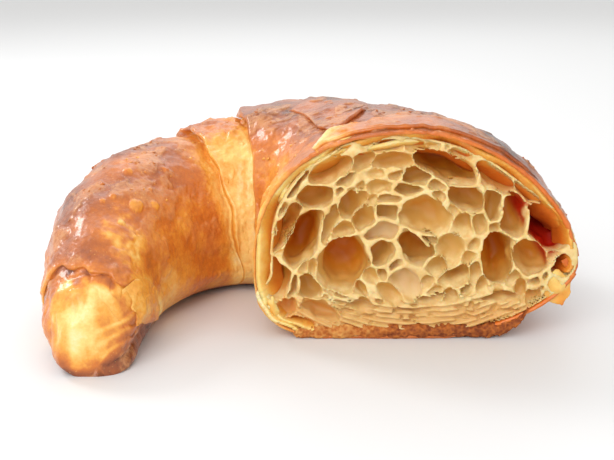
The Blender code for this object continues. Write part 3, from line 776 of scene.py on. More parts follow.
def browning(points, degrees, part, roll):
    """How brown the crust is: by angle, paler where the roll before covered it, darker at the foot."""
    covered, reach = COVERED[roll]
    brown = around(BROWNING[roll], degrees) - covered * (1 - smooth(part / reach))
    if roll == TIP:
        brown = brown + tip_browning(points, part)
    foot = FOOT_BROWNING[roll] * smooth((FOOT_BROWNING_HEIGHT - points[..., 2]) / 2.0)
    brown = brown + foot + layered(points, BROWNING_NOISE)
    return np.minimum(brown, DARKEST)


def tip_browning(points, part):
    """How much browner the tip is than its angle gives: streaks, a cream patch, and a paler line along
    the layers' edges that is painted highlight.
    """
    streaks = cloud(points * UPRIGHT_STREAKS, 2.6, 7)
    away = ((points - np.array(PALE_TIP)) / np.array(PALE_TIP_REACH)) ** 2
    cream = np.exp(-away.sum(-1)) * smooth(part / 0.25 - 0.4 * streaks)
    low_inner_side = smooth((5.0 - points[..., 2]) / 3.0) * smooth((points[..., 0] + 67.0) / 4.0)
    brown = 0.38 + 0.2 * (1 - smooth(part / 0.6)) - 0.42 * cream
    brown = brown - (0.12 + 0.26 * (1 - smooth(part / 0.7))) * streaks
    # a paler line along each layer's edge: painted highlight
    return brown - 0.16 * fold_lines(points)[1] + 0.26 * low_inner_side


def film(points, roll):
    """Where a thin flaky skin lies on the roll, from 0 to 1."""
    return smooth((layered(points, FILM_NOISE) + FILM_LEVEL[roll]) / 0.3)


def relief(points, roll, film_share):
    """Fine height of the crust: films of skin, wrinkles, and folds that run round the neck."""
    ridged = 1 - 2 * np.abs(cloud(points, 3.2, 54))
    height = layered(points, WRINKLES) + 0.22 * film_share + 0.12 * ridged * film_share
    if roll == NECK:
        height = height + 0.34 * cloud(points * UPRIGHT_FOLDS, 2.2, 55)
    if roll == TIP:
        creased = np.abs(cloud(points * UPRIGHT_CREASES, 3.4, 56))
        height = height - 0.35 * np.exp(-creased * 9) + 0.5 * cloud(points, 4.5, 57)
        height = height + fold_lines(points)[0]
    return height


def fold_lines(points):
    """Layers that end one behind the other at the side of the tip: their height, and lines along their
    edges where a highlight is painted.
    """
    x, y, z = (points[..., axis] for axis in range(3))
    radius = np.hypot(x - FOLD_MIDDLE[0], z - FOLD_MIDDLE[1]) + 0.5 * cloud(points, 2.5, 58)
    facing = smooth((x + 66.0) / 3.0) * smooth((y + 30.0) / 4.0) * smooth((8.0 - y) / 6.0)
    height = np.zeros(radius.shape)
    highlight_lines = np.zeros(radius.shape)
    for place in FOLD_RADII:
        height = height - FOLD_STEP * smooth((radius - place) / 0.5) * fading(radius - place, 2.0)
        highlight_lines = highlight_lines + hill(radius - place + 0.4, 0.5)
    return height * facing, highlight_lines * facing


def large_blisters(points):
    """How high the arm's large blisters stand at each point, and how much of a dome it is on."""
    height = np.zeros(points.shape[:-1])
    dome = np.zeros(points.shape[:-1])
    for share, degrees, radius in LARGE_BLISTERS:
        middle = crust(share, float(degrees), ARM_SWELL)
        away = np.sqrt(((points - middle) ** 2).sum(-1)) / radius
        rise = np.sqrt(np.clip(1 - away ** 2, 0, 1))
        height = np.maximum(height, 0.5 * radius * rise)
        dome = np.maximum(dome, smooth(2.5 * rise))
    return height, dome


def pale_patches(points):
    """How much paler the arm is in the given places."""
    total = np.zeros(points.shape[:-1])
    for share, degrees, radius, amount in PALE_PATCHES:
        away = ((points - crust(share, float(degrees), ARM_SWELL)) ** 2).sum(-1) / radius ** 2
        total = total + amount * np.exp(-away)
    return total * (0.7 + 0.6 * cloud(points, 1.6, 71))


def undercut(share, degrees):
    """How far the tip draws in on its inner side, towards its end."""
    return UNDERCUT * smooth((share - 0.86) / 0.09) * hill(degrees - 207.0, 30.0)


def roll_points(roll, part, degrees, lines, drop=0.0):
    """Points, browning and film of one roll at parts of its length."""
    share = lines[roll] + (lines[roll + 1] - lines[roll]) * part
    lift = roll_lift(roll, part, degrees) - drop - undercut(share, degrees)
    smooth_points = crust(share, degrees, lift)
    film_share = film(smooth_points, roll)
    height = relief(smooth_points, roll, film_share)
    brown = browning(smooth_points, degrees, part, roll)
    if roll == ARM:
        rise, dome = large_blisters(smooth_points)
        height = height + rise
        near_edge = smooth((part - 0.94) / 0.06)
        brown = brown - BLISTER_PALENESS * dome - pale_patches(smooth_points) - 0.2 * near_edge
        film_share = film_share * (1 - dome)
    points = crust(share, degrees, lift + height)
    return points, brown, film_share


def ledge_rows(roll, degrees, lines):
    """The rows that turn under a roll's overhanging edge, with their browning and film."""
    rows = []
    for slip, sink in LEDGES[roll]:
        share = lines[roll + 1] + slip
        lift = roll_lift(roll, np.ones(1), degrees) - sink - undercut(share, degrees)
        rows.append(crust(share, degrees, lift))
    return np.array(rows), 0.5, 0.0


def join_rows(blocks):
    """Rows of points with their values: each block is (points, browning, film)."""
    points = np.concatenate([block[0] for block in blocks])
    values = {}
    for number, key in ((1, "browning"), (2, "film")):
        values[key] = np.concatenate([np.broadcast_to(block[number], block[0].shape[:2])
                                      for block in blocks])
    return points, values


def crown_crust():
    """The widest roll, with the cup in its cut end that holds the crumb."""
    degrees = section(CROWN_COLUMNS)
    arch = smooth((np.sin(np.radians(degrees)) + 0.1) / 0.8)
    lines = edge_lines(degrees)
    part = (np.linspace(0, 1, CROWN_ROWS) ** 1.15)[:, None]
    behind = lines[1] * part * MIDLINE_LENGTH
    droop = VISOR_DROOP * hill(behind, 4.5) * arch
    outer, outer_brown, outer_film = roll_points(CROWN, part, degrees, lines, droop)
    front = VISOR_REACH * arch + torn(degrees, EDGE_TEAR, 21, 90) + 0.2
    forward = np.array([0.0, -1.0, 0.0])    # out of the cut
    outer = outer + forward * (front * hill(behind, 3.0))[..., None]
    outer_brown = outer_brown - 0.12 * hill(behind, 1.2)
    rim = []
    for inset, back in CUT_EDGE:
        row = crust(0.0 * degrees, degrees, -VISOR_DROOP * arch, inset)
        rough = 0.35 * cloud(row, 0.9, 61)
        rim.append(row + forward * (front - back + rough)[:, None])
    depths = np.linspace(CUP_DEPTH, CUP_FRONT, CUP_ROWS)[:, None]
    cup = crust(depths / MIDLINE_LENGTH, degrees, 0.0, CRUST_WALL + 0.25)
    under = ledge_rows(CROWN, degrees, lines)
    blocks = [(cup, 0.5, 0.0), (np.array(rim), 0.5, 0.0), (outer, outer_brown, outer_film), under]
    rows, values = join_rows(blocks)
    inner_rows = len(cup) + len(rim)
    # The cup and the cut edge are orange, partly painted glow, more so towards the right
    ember = np.zeros(len(rows))
    ember[:inner_rows] = CUP_ORANGE_AND_PAINTED_GLOW
    ember[inner_rows:inner_rows + 2] = EDGE_ORANGE_AND_PAINTED_GLOW
    right = smooth((np.cos(np.radians(degrees)) + 0.4) / 0.9)
    values["ember"] = ember[:, None] * (0.45 + 0.55 * right)
    return closed_tube("crown_crust", rows, values)


def horn_crust():
    """The neck, the arm and the tip, one closed piece that starts inside the crown."""
    degrees = section(HORN_COLUMNS)
    lines = edge_lines(degrees)
    tip_part = 1 - (1 - np.linspace(0, 1, TIP_ROWS)) ** 1.6
    parts = {NECK: np.linspace(-0.12, 1, NECK_ROWS), ARM: np.linspace(-0.02, 1, ARM_ROWS),
             TIP: tip_part * 0.9995}
    blocks = []
    for roll, part in parts.items():
        blocks.append(roll_points(roll, part[:, None], degrees, lines))
        if roll in LEDGES:
            blocks.append(ledge_rows(roll, degrees, lines))
    return closed_tube("horn_crust", *join_rows(blocks))


# Sheets of torn crust

def sheet_mesh(name, top, bottom, attributes):
    """A closed sheet between two grids of points, joined along their borders."""
    rows, columns = top.shape[:2]
    count = rows * columns
    index = np.arange(count).reshape(rows, columns)
    quads = np.stack([index[:-1, :-1], index[1:, :-1], index[1:, 1:], index[:-1, 1:]], -1).reshape(-1, 4)
    border = np.concatenate([index[:-1, 0], index[-1, :-1], index[:0:-1, -1], index[0, :0:-1]])
    following = np.roll(border, -1)
    sides = np.stack([following, border, border + count, following + count], -1)
    faces = np.concatenate([quads, quads[:, ::-1] + count, sides])
    points = np.concatenate([top.reshape(-1, 3), bottom.reshape(-1, 3)])
    values = {}
    for key, value in attributes.items():
        values[key] = np.tile(np.broadcast_to(value, top.shape[:2]).ravel(), 2)
    return mesh_of(name, points, faces, values)


def amid(values, u, v):
    """A value between those of four corners, at shares of the way along and across."""
    weights = ((1 - u) * (1 - v), u * (1 - v), u * v, (1 - u) * v)
    return sum(weight * value for weight, value in zip(weights, values))


def draped_sheet(name, corners, bow, free, browning_at, rise, seed):
    """A thin sheet over the crust between four corners of (share, angle).

    bow swings its first and second edges out, in degrees. free says which of its edges stand
    clear of the crust: first, second, third, fourth. browning_at gives the corners' browning.
    """
    share, degrees = np.array(corners, float).T
    u, v = np.meshgrid(*(np.linspace(0, 1, count) for count in DRAPED_GRID), indexing="ij")
    sheet_share, sheet_degrees = (amid(values, u, v) for values in (share, degrees))
    brown = amid(browning_at, u, v ** 0.45)
    sheet_degrees = sheet_degrees + bow[0] * 4 * u * (1 - u) * (1 - v) + bow[1] * 4 * v * (1 - v) * u
    ragged = torn(u * 150 + v * 77, 1.0, seed, 60)
    sheet_degrees = sheet_degrees + 0.9 * ragged * ((1 - v) ** 6 + v ** 6)
    sheet_share = sheet_share + 0.0035 * ragged * (u ** 6 + (1 - u) ** 6)
    margins = (v, 1 - u, 1 - v, u)
    held = np.ones_like(u)
    curl = np.zeros_like(u)
    for edge, margin in enumerate(margins):
        if free[edge]:
            curl = np.maximum(curl, np.exp(-margin * 14))
        else:
            held = held * smooth(margin * 5)
    smooth_points = crust(sheet_share, sheet_degrees, rise)
    film_share = film(smooth_points, CROWN)
    height = relief(smooth_points, CROWN, film_share)
    lift = -DRAPED_TUCK + (rise + DRAPED_TUCK + DRAPED_CURL * curl) * held + height
    top = crust(sheet_share, sheet_degrees, lift)
    bottom = crust(sheet_share, sheet_degrees, lift - SHEET_EDGE - 0.4 * curl)
    shade = brown + 0.12 * cloud(smooth_points, 5.0, 8) - 0.05 * curl
    made = sheet_mesh(name, top, bottom, {"browning": shade, "film": film_share})
    # The sheet's underside is orange, partly painted glow
    store(made.data, "ember", np.repeat((0.0, 0.7), len(made.data.vertices) // 2))
    return made


def rim_sheet(name, start, end, insets, slant, front, brown, seed):
    """A sheet of dough inside the cut's crust, with a ragged front edge.

    It leans inwards as it goes back, by slant, so that its own inner face shows from the front.
    """
    turn, back = np.meshgrid(*(np.linspace(0, 1, count) for count in RIM_SHEET_GRID), indexing="ij")
    degrees = start + (end - start) * turn
    inset = insets[0] + (insets[1] - insets[0]) * turn
    wander = 0.5 * np.sin(degrees / 9 + start) + 0.3 * np.sin(degrees / 3.7 + 2 * start)
    ends = smooth(turn * 8) * smooth((1 - turn) * 8)
    inset = inset + 0.9 * wander * ends + (0.5 + 2.5 * back) * (1 - ends) + slant * back * ends
    ragged = torn(degrees * 4, EDGE_TEAR, seed, 70)
    plane = front + ragged * (1 - back) + RIM_SHEET_DEPTH * back ** 1.2 + 3.5 * (1 - ends)
    flat = crust(0.0 * degrees, degrees, 0.0, inset)
    under = crust(0.0 * degrees, degrees, 0.0, inset + SHEET_EDGE)
    for grid in (flat, under):
        grid[..., 1] += plane
    # Darker further back into the cut, which is painted shade; paler at the front edge
    shade = brown + 0.18 * smooth(back * 1.4) - 0.1 * np.exp(-back * 16) + 0.12 * cloud(flat, 4.0, 9)
    return sheet_mesh(name, flat, under, {"browning": shade, "film": 0.0})


def flake(name, outline, front, brown, seed):
    """A thin curled leaf of torn crust in the plane of the cut, with ragged borders."""
    count = FLAKE_COLUMNS
    places = np.arange(count) * len(outline) / count
    corners = np.array([*outline, outline[0]], float)
    line = np.stack([np.interp(places, np.arange(len(corners)), column) for column in corners.T], -1)
    for _ in range(6):
        line = (np.roll(line, 1, axis=0) + 2 * line + np.roll(line, -1, axis=0)) / 4
    middle = line.mean(axis=0)
    ragged = torn(section(count), 0.1, seed, 40)
    line = middle + (line - middle) * (1 + ragged)[:, None]
    shares = np.linspace(0.03, 1.0, FLAKE_ROWS)[:, None, None]
    flat = middle + (line - middle) * shares
    rows = np.stack([flat[..., 0], np.zeros(flat.shape[:2]), flat[..., 1]], -1)
    bulge = 0.7 * shares[..., 0] ** 2 + 0.35 * cloud(rows, 2.0, 91)
    rows[..., 1] = front + bulge
    back = rows + np.array([0.0, FLAKE_THICKNESS, 0.0])
    shade = brown + 0.2 * cloud(rows, 2.5, 92)
    shade = np.concatenate([shade, shade[::-1]])
    return closed_tube(name, np.concatenate([rows, back[::-1]]), {"browning": shade})


def scatter_tree(name):
    """Spreads copies of a small shape over a mesh where its "spots" attribute allows them."""
    tree = bpy.data.node_groups.new(name, "GeometryNodeTree")
    for key, kind in (("Geometry", "NodeSocketGeometry"), ("Shape", "NodeSocketObject"),
                      ("Density", "NodeSocketFloat"), ("Smallest", "NodeSocketFloat"),
                      ("Largest", "NodeSocketFloat"), ("Seed", "NodeSocketInt"),
                      ("Material", "NodeSocketMaterial")):
        tree.interface.new_socket(key, in_out="INPUT", socket_type=kind)
    tree.interface.new_socket("Geometry", in_out="OUTPUT", socket_type="NodeSocketGeometry")
    maker = Maker(tree)
    given = tree.nodes.new("NodeGroupInput")
    asked = {socket.name: Link(maker, socket) for socket in given.outputs if socket.name}
    spots = maker.node("GeometryNodeInputNamedAttribute", {"data_type": "FLOAT"}, {"Name": "spots"})
    seeds = maker.node("GeometryNodeDistributePointsOnFaces", {"distribute_method": "RANDOM"}, {
        "Mesh": asked["Geometry"],
        "Density": spots * asked["Density"],
        "Seed": asked["Seed"],
    })
    facing = Link(maker, seeds.socket.node.outputs["Rotation"])
    size = maker.node("FunctionNodeRandomValue", {"data_type": "FLOAT"},
                      {2: asked["Smallest"], 3: asked["Largest"], "Seed": asked["Seed"]}, 1)
    turn = maker.node("FunctionNodeRandomValue", {"data_type": "FLOAT"},
                      {2: 0.0, 3: 2 * math.pi, "Seed": 3}, 1)
    spin = maker.node("ShaderNodeCombineXYZ", None, {"Z": turn})
    turned = maker.node("FunctionNodeRotateRotation", {"rotation_space": "LOCAL"},
                        {"Rotation": facing, "Rotate By": spin})
    shape = maker.node("GeometryNodeObjectInfo", None, {"Object": asked["Shape"]}, "Geometry")
    copies = maker.node("GeometryNodeInstanceOnPoints", None,
                        {"Points": seeds, "Instance": shape, "Rotation": turned, "Scale": size})
    real = maker.node("GeometryNodeRealizeInstances", None, {"Geometry": copies})
    painted = maker.node("GeometryNodeSetMaterial", None,
                         {"Geometry": real, "Material": asked["Material"]})
    result = tree.nodes.new("NodeGroupOutput")
    tree.links.new(painted.socket, result.inputs["Geometry"])
    return tree


def scattered(name, host, shape, spots, density, sizes, seed):
    """A plain mesh of small shapes spread over the host. Its sizes are in millimetres."""
    store(host.data, "spots", spots)
    made = bpy.data.objects.new(name, host.data.copy())
    bpy.context.scene.collection.objects.link(made)
    modifier = made.modifiers.new(name, "NODES")
    modifier.node_group = SCATTER
    values = {"Shape": shape, "Density": density, "Smallest": sizes[0] * MM, "Largest": sizes[1] * MM,
              "Seed": seed, "Material": CRUST_MATERIAL}
    for item in SCATTER.interface.items_tree:
        if item.in_out == "INPUT" and item.name in values:
            modifier[item.identifier] = values[item.name]
    plain_mesh(made)
    made.data.vertices.foreach_set("co", to_frame(working_points(made.data)).astype(np.float32).ravel())
    host.data.attributes.remove(host.data.attributes["spots"])
    return made


def loose_flakes(host, name, seed):
    """Small dry chips of skin and tiny blisters, where the crust's film is thickest."""
    points = working_points(host.data)
    film_share = stored(host.data, "film") * smooth((stored(host.data, "browning") - 0.45) / 0.2)
    high = smooth((points[:, 2] - 0.45 * CUT_HEIGHT) / 8.0)
    spots = np.clip(film_share * high * (0.15 + np.maximum(cloud(points, 6.0, seed), 0)), 0, 1)
    chip = small_shape("chip", 1.25, 0.0, 0.18, 0.35)
    dome = small_shape("dome", 1.15, 0.75, 0.3, 0.0)
    made = [scattered(name + "_chips", host, chip, spots, CHIPS, CHIP_SIZES, seed),
            scattered(name + "_blisters", host, dome, spots, BLISTERS, BLISTER_SIZES, seed + 1)]
    # The chips and domes are paler than the crust below: partly dry flakes, partly painted glints
    for piece in made:
        store(piece.data, "browning", stored(piece.data, "browning") - BLISTER_PALENESS)
        store(piece.data, "film", 0.0 * stored(piece.data, "film"))
    for shape in (chip, dome):
        bpy.data.objects.remove(shape)
    return made


def small_shape(name, reach, height, thickness, curl):
    """A closed dome or chip of radius 1 for scattering, stretched by reach and bent by curl."""
    turn = np.arange(SHAPE_CORNERS) * 2 * np.pi / SHAPE_CORNERS
    uneven = 1 + 0.16 * np.sin(2 * turn + 1) + 0.1 * np.sin(3 * turn)
    rows = []
    for part in np.linspace(0.15, 1, SHAPE_RINGS):
        rise = height * (1 - part ** 2) + curl * part ** 2 * np.cos(turn)
        radius = part * uneven
        rows.append(np.stack([radius * reach * np.cos(turn), radius * np.sin(turn), rise], -1))
    top = np.array(rows)
    under = top[::-1] - np.array([0.0, 0.0, thickness])
    return closed_tube(name, np.concatenate([top, under]), None, lambda points: points)


def foot_crust():
    """The coarse baked underside along the foot of the cut, standing up at its right end."""
    steps = np.linspace(0, 1, FOOT_ROWS)[:, None]
    places = np.linspace(0, 1, len(FOOT_LINE))
    middle_x, middle_z = (np.interp(steps, places, line) for line in zip(*FOOT_LINE))
    turn = np.arange(FOOT_COLUMNS) * 2 * np.pi / FOOT_COLUMNS
    ends = smooth(steps * 14) * smooth((1 - steps) * 14) + 0.03
    x = middle_x + 0.5 * np.cos(turn) * smooth((middle_x - 20) / 4)
    y = FOOT_SET_BACK + FOOT_HALF_DEPTH * ends * np.sin(turn)
    z = middle_z + FOOT_HALF_HEIGHT * ends * np.cos(turn)
    rows = np.stack([x, y, z], -1)
    middles = np.stack(np.broadcast_arrays(middle_x, FOOT_SET_BACK, middle_z), -1)
    away = rows - middles
    away = away / (np.linalg.norm(away, axis=-1, keepdims=True) + 1e-6)
    grain = layered(rows, FOOT_GRAIN)
    rows = rows + away * (grain * ends)[..., None]
    rows[..., 2] = np.maximum(rows[..., 2], 0.15)
    paler = 0.9 * smooth((2.0 - middle_x) / 16.0)
    return closed_tube("foot_crust", rows, {"grain": grain + paler})


SCATTER = scatter_tree("scattered_skin")


# Crumb

def cell_depth(cell):
    x, z, half_length, half_height, tilt, deep = cell
    return CELL_DEPTH * deep * math.sqrt(half_length * half_height)


def cell_gap(cell, points):
    """Distance from each point to the cell's ellipsoid, less than 0 inside it."""
    x, z, half_length, half_height, tilt, deep = cell
    depth = cell_depth(cell)
    away = points - np.array([x, CELL_SET_BACK * depth, z])
    distance = np.sqrt((away ** 2).sum(-1)) + 1e-6
    turn = math.radians(tilt)
    lengthwise = (away[..., 0] * math.cos(turn) + away[..., 2] * math.sin(turn)) / half_length
    upright = (away[..., 2] * math.cos(turn) - away[..., 0] * math.sin(turn)) / half_height
    inward = away[..., 1] / depth
    return distance - distance / (np.sqrt(lengthwise ** 2 + upright ** 2 + inward ** 2) + 1e-6)


def rim_distance(x, z):
    """How far a point of the cut lies inside the crust's outline."""
    x, z = x - CUT_MIDDLE_X, z - WIDEST_SHARE * CUT_HEIGHT
    power = roundness(0.0, x, z)
    top = CUT_HEIGHT * (1 - WIDEST_SHARE)
    foot = CUT_HEIGHT * WIDEST_SHARE
    upright = np.where(z >= 0, z / top, -z / foot)
    ratio = (np.abs(x / CUT_HALF_WIDTH) ** power + upright ** power) ** (1 / power) + 1e-6
    reach = np.hypot(x, z)
    return reach / ratio - reach


def small_holes():
    """Seeded pores in the thicker walls, and flat slits between the pressed layers of the foot."""
    draw = np.random.default_rng(HOLE_SEED)
    holes = []
    for _ in range(PORES):
        x, z = draw.uniform(-30, 32), draw.uniform(4, 44)
        size = draw.uniform(0.25, 0.7)
        holes.append((x, z, size * draw.uniform(1.0, 1.8), size, draw.uniform(-60, 60), 1.0))
    for _ in range(SLITS):
        x, z = draw.uniform(-24, 26), draw.uniform(3.6, 11.5)
        length = draw.uniform(0.8, 3.0)
        holes.append((x, z, length, draw.uniform(0.16, 0.34), x * 0.3 + draw.uniform(-7, 7), 0.8))
    return holes


def filler_cells():
    """Small seeded cells between the measured ones, drawn out along the dough's turns."""
    draw = np.random.default_rng(FILLER_SEED)
    cells = []
    for _ in range(FILLER_TRIES):
        x, z = draw.uniform(-30, 33), draw.uniform(10, 45)
        height = draw.uniform(0.4, 1.0)
        length = height * draw.uniform(1.2, 2.8)
        tilt = math.degrees(math.atan2(x - CUT_MIDDLE_X, SPIRAL_HEIGHT - z)) + draw.uniform(-18, 18)
        spot = np.array([x, 0.4, z])
        room = min(float(cell_gap(cell, spot)) for cell in (*CELLS, *cells))
        if room > height + FILLER_ROOM:
            cells.append((x, z, length, height, tilt, 1.1))
    return cells


def window(cell, axes, margin):
    """The block of grid indices that a cell can reach."""
    x, z, half_length, half_height, tilt, deep = cell
    depth = cell_depth(cell)
    side = max(half_length, half_height) + margin
    limits = ((x - side, x + side), (-FAR, depth * (1 + CELL_SET_BACK) + margin), (z - side, z + side))
    return tuple(slice(*np.searchsorted(axis, limit)) for axis, limit in zip(axes, limits))


def crumb_hollows(grid, axes, rough):
    """A grid that is above 0 in the cells, pores and slits."""
    bent = grid.copy()
    for axis, seed in ((0, 37), (2, 38)):   # sideways and upwards
        bent[..., axis] += layered(grid, ((0.85, 4.6, seed), (0.3, 1.9, seed + 10)))
    nearest = np.full(grid.shape[:3], FAR)
    second = np.full(grid.shape[:3], FAR)
    for cell in (*CELLS, *filler_cells()):
        block = window(cell, axes, CELL_REACH)
        gap = cell_gap(cell, bent[block])
        second[block] = np.minimum(second[block], np.maximum(gap, nearest[block]))
        nearest[block] = np.minimum(nearest[block], gap)
    flare = MOUTH_FLARE * fading(grid[..., 1], 1.3)
    growth = CRUMB_GROWTH + flare + 0.3 * rough + 0.35 * cloud(grid, 4.5, 35)
    wall = CELL_WALL + 0.9 * np.maximum(cloud(grid, 4.1, 32), -0.25) - 0.35 * flare
    # a cell ends at its own growth, or at the wall half way to the next cell
    hollow = np.minimum(growth - nearest, (second - nearest - wall) * 0.5)
    for hole in small_holes():
        block = window(hole, axes, 0.6)
        hollow[block] = np.maximum(hollow[block], -cell_gap(hole, bent[block]) - 0.1 * rough[block])
    return hollow


def crumb_sides(grid):
    """How far each point lies inside the crumb's sides, which draw in as they go back.

    A slot parts the crumb from the crown above it and, near the cut, from the wall on its left.
    """
    x, y, z = (grid[..., axis] for axis in range(3))
    arch = smooth((z - 24.0) / 14.0)
    right = smooth((x + 6.0) / 12.0)
    left = smooth((-x - 6.0) / 12.0) * smooth((z - 8.0) / 8.0) * fading(y, 7.0)
    narrowing = np.maximum(y - 2.0, 0) * np.where(x > 0, 0.16, 0.05)
    narrowing = narrowing + 0.8 * smooth((y - 0.3) / 1.5) + 0.5 * np.maximum(y - 11.0, 0)
    slot = np.maximum((SLOT_ABOVE + right) * arch, SLOT_LEFT * left)
    return rim_distance(x, z) - 0.5 - narrowing - slot


def crumb_face(grid, rough):
    """How far behind the cut the crumb's torn face lies, with pressed layers near the foot."""
    x, z = grid[..., 0], grid[..., 2]
    flat = grid[..., [0, 2, 2]]
    pressed = smooth((13.0 - z) / 5.0)
    bowed = z - LAYER_BOW * (x - CUT_MIDDLE_X) ** 2
    layers = np.sin(2 * np.pi * bowed / LAYER_HEIGHT + 1.3 * cloud(flat, 6.0, 34))
    uneven = layered(flat * np.array([1.0, 1.0, 0.0]), FACE_NOISE)
    return 0.3 * rough + uneven * (1 - 0.5 * pressed) + 0.42 * pressed * layers


def crumb_field():
    """A grid that is above 0 in the crumb and below 0 in its cells and outside it, with its axes."""
    limits = (CRUMB_SIDES, (CRUMB_FRONT, CRUMB_DEPTH + 0.8), CRUMB_HEIGHTS)
    axes = tuple(np.arange(low, high, CRUMB_STEP) for low, high in limits)
    grid = np.stack(np.meshgrid(*axes, indexing="ij"), -1)
    rough = cloud(grid, 1.7, 31)
    side = crumb_sides(grid)
    behind = grid[..., 1]
    whole = np.minimum(side, behind - crumb_face(grid, rough))
    whole = np.minimum(whole, CRUMB_DEPTH - behind)
    hollow = np.minimum(crumb_hollows(grid, axes, rough), side - CELL_WALL)
    return np.minimum(whole, -hollow), axes


def surface_net(field, axes):
    """A smooth surface where a grid crosses 0, facing out of its part above 0."""
    solid = field > 0
    corners = [(i, j, k) for i in (0, 1) for j in (0, 1) for k in (0, 1)]
    count = sum(at_corner(solid, corner).astype(np.int8) for corner in corners)
    mixed = (count > 0) & (count < len(corners))
    number = np.full(mixed.shape, -1, np.int64)
    number[mixed] = np.arange(mixed.sum())
    return net_points(field, axes, mixed, corners), net_faces(solid, number)


def at_corner(grid, corner):
    """The values of a grid at one corner of each of its blocks."""
    return grid[tuple(slice(start, start + count - 1) for start, count in zip(corner, grid.shape))]


def net_points(field, axes, mixed, corners):
    """A point in each mixed block, amid the places where the block's edges cross 0."""
    blocks = np.argwhere(mixed)
    total = np.zeros((len(blocks), 3))
    crossings = np.zeros(len(blocks))
    for first in corners:
        for axis in range(3):
            if first[axis]:
                continue
            second = tuple(start + (axis == place) for place, start in enumerate(first))
            a = at_corner(field, first)[mixed]
            b = at_corner(field, second)[mixed]
            crossed = (a > 0) != (b > 0)
            spot = np.tile(np.array(first, float), (len(blocks), 1))
            spot[:, axis] += np.where(crossed, a / np.where(crossed, a - b, 1.0), 0.0)
            total += spot * crossed[:, None]
            crossings += crossed
    origin = np.array([axis[0] for axis in axes])
    return origin + (blocks + total / crossings[:, None]) * CRUMB_STEP


def net_faces(solid, number):
    """A face round each edge of the grid that crosses 0, by the numbers of its blocks' points."""
    faces = []
    for axis in range(3):
        low = [slice(1, -1)] * 3
        low[axis] = slice(0, -1)
        high = list(low)
        high[axis] = slice(1, None)
        a, b = solid[tuple(low)], solid[tuple(high)]
        u, v = [place for place in range(3) if place != axis]
        inner = np.ones(3, int)
        inner[axis] = 0
        spots = np.argwhere(a != b) + inner
        quad = []
        for du, dv in ((1, 1), (0, 1), (0, 0), (1, 0)):
            block = spots.copy()
            block[:, u] -= du
            block[:, v] -= dv
            quad.append(number[tuple(block.T)])
        quad = np.stack(quad, -1)
        # a face looks towards the higher end of its edge, or on the middle axis towards the lower
        kept = a[a != b] != (axis == 1)
        quad[~kept] = quad[~kept][:, ::-1]
        faces.append(quad)
    return np.concatenate(faces)


def open_crumb():
    """The crumb behind the cut, with its cells, walls, pores and pressed layers."""
    field, axes = crumb_field()
    points, faces = surface_net(field, axes)
    made = mesh_of("open_crumb", points, faces)
    thin(made, CRUMB_TRIANGLES)
    paint_crumb(made)
    return made


def paint_crumb(made):
    """Stores depth, which paints shade deeper in the cells and on faces that look down and darkens the
    pressed layers, how warm the crumb is, how red it is with partly painted glow, and where a pale skin
    veils a cell.
    """
    points = working_points(made.data)
    x, y, z = points.T
    rim = rim_distance(x, z)
    near_crust = fading(rim - 1.0, 4.2)
    top = smooth((z - 26.0) / 12.0)
    left = smooth((-x - 16.0) / 12.0)
    # Red in the upper right corner and near the crust's top, partly painted glow
    corner = smooth((1.6 * x + z - 62.0) / 9.0) * (1 - 0.55 * smooth((z - 29.0) / 6.0))
    pressed = smooth((12.0 - z) / 6.0)
    normals = np.empty(len(points) * 3, np.float32)
    made.data.vertices.foreach_get("normal", normals)
    facing_down = -normals.reshape(-1, 3)[:, 2]
    inside = smooth(y / 1.5)
    # depth is painted shade: darker further in and on faces that look down; the pressed layers are
    # darker too
    depth = y / 10.0 + 0.18 * facing_down * inside + 0.22 * pressed
    veil = np.zeros(len(points))
    for cell in CELLS:
        if cell[-1] <= VEIL_DEPTH:
            veil = np.maximum(veil, smooth(1.2 - cell_gap(cell, points)) * inside)
    store(made.data, "depth", np.clip(depth, 0, 1.2))
    store(made.data, "warmth", np.clip(near_crust * (0.35 + 0.45 * top + 0.65 * left), 0, 1))
    store(made.data, "ember", np.clip(corner + 0.4 * near_crust * top * inside, 0, 1))
    store(made.data, "veil", np.maximum(veil, 0.25 * pressed))


def thin(piece, most):
    """Brings a mesh under a number of triangles, with flat stretches thinned first."""
    piece.data.calc_loop_triangles()
    count = len(piece.data.loop_triangles)
    if count <= most:
        return
    modifier = piece.modifiers.new("thin", "DECIMATE")
    modifier.ratio = most / count
    plain_mesh(piece)


def plain_mesh(piece):
    """Replaces a piece's mesh by the one that its modifiers make, and removes them."""
    graph = bpy.context.evaluated_depsgraph_get()
    result = bpy.data.meshes.new_from_object(piece.evaluated_get(graph))
    piece.modifiers.clear()
    piece.data = result
    result.shade_smooth()


# Finish

def dress(piece, material):
    piece.data.materials.clear()
    piece.data.materials.append(material)
    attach(piece, "root")
    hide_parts(NODE)


def build_croissant():
    for number, host in enumerate((crown_crust(), horn_crust())):
        for piece in (host, *loose_flakes(host, host.name, 10 * number + 3)):
            dress(piece, CRUST_MATERIAL)
    for name, values in DRAPED_SHEETS.items():
        dress(draped_sheet(name, *values), CRUST_MATERIAL)
    for name, values in RIM_SHEETS.items():
        dress(rim_sheet(name, *values), SHEET_MATERIAL)
    for name, values in FLAKES.items():
        dress(flake(name, *values), SHEET_MATERIAL)
    dress(foot_crust(), FOOT_MATERIAL)
    dress(open_crumb(), CRUMB_MATERIAL)


# Studio and camera

IMAGE_SIZE = (614, 460)
FOCAL_PIXELS = 1000.0
ELEVATION = 17.0
PIXELS_PER_MM = 4.45        # across the cut
CUT_FOOT_PIXEL = (404, 338)  # where the photograph shows the foot of the cut's middle line
WORLD_COLOUR = (1.0, 0.985, 0.965, 1.0)
WORLD_STRENGTH = 0.88
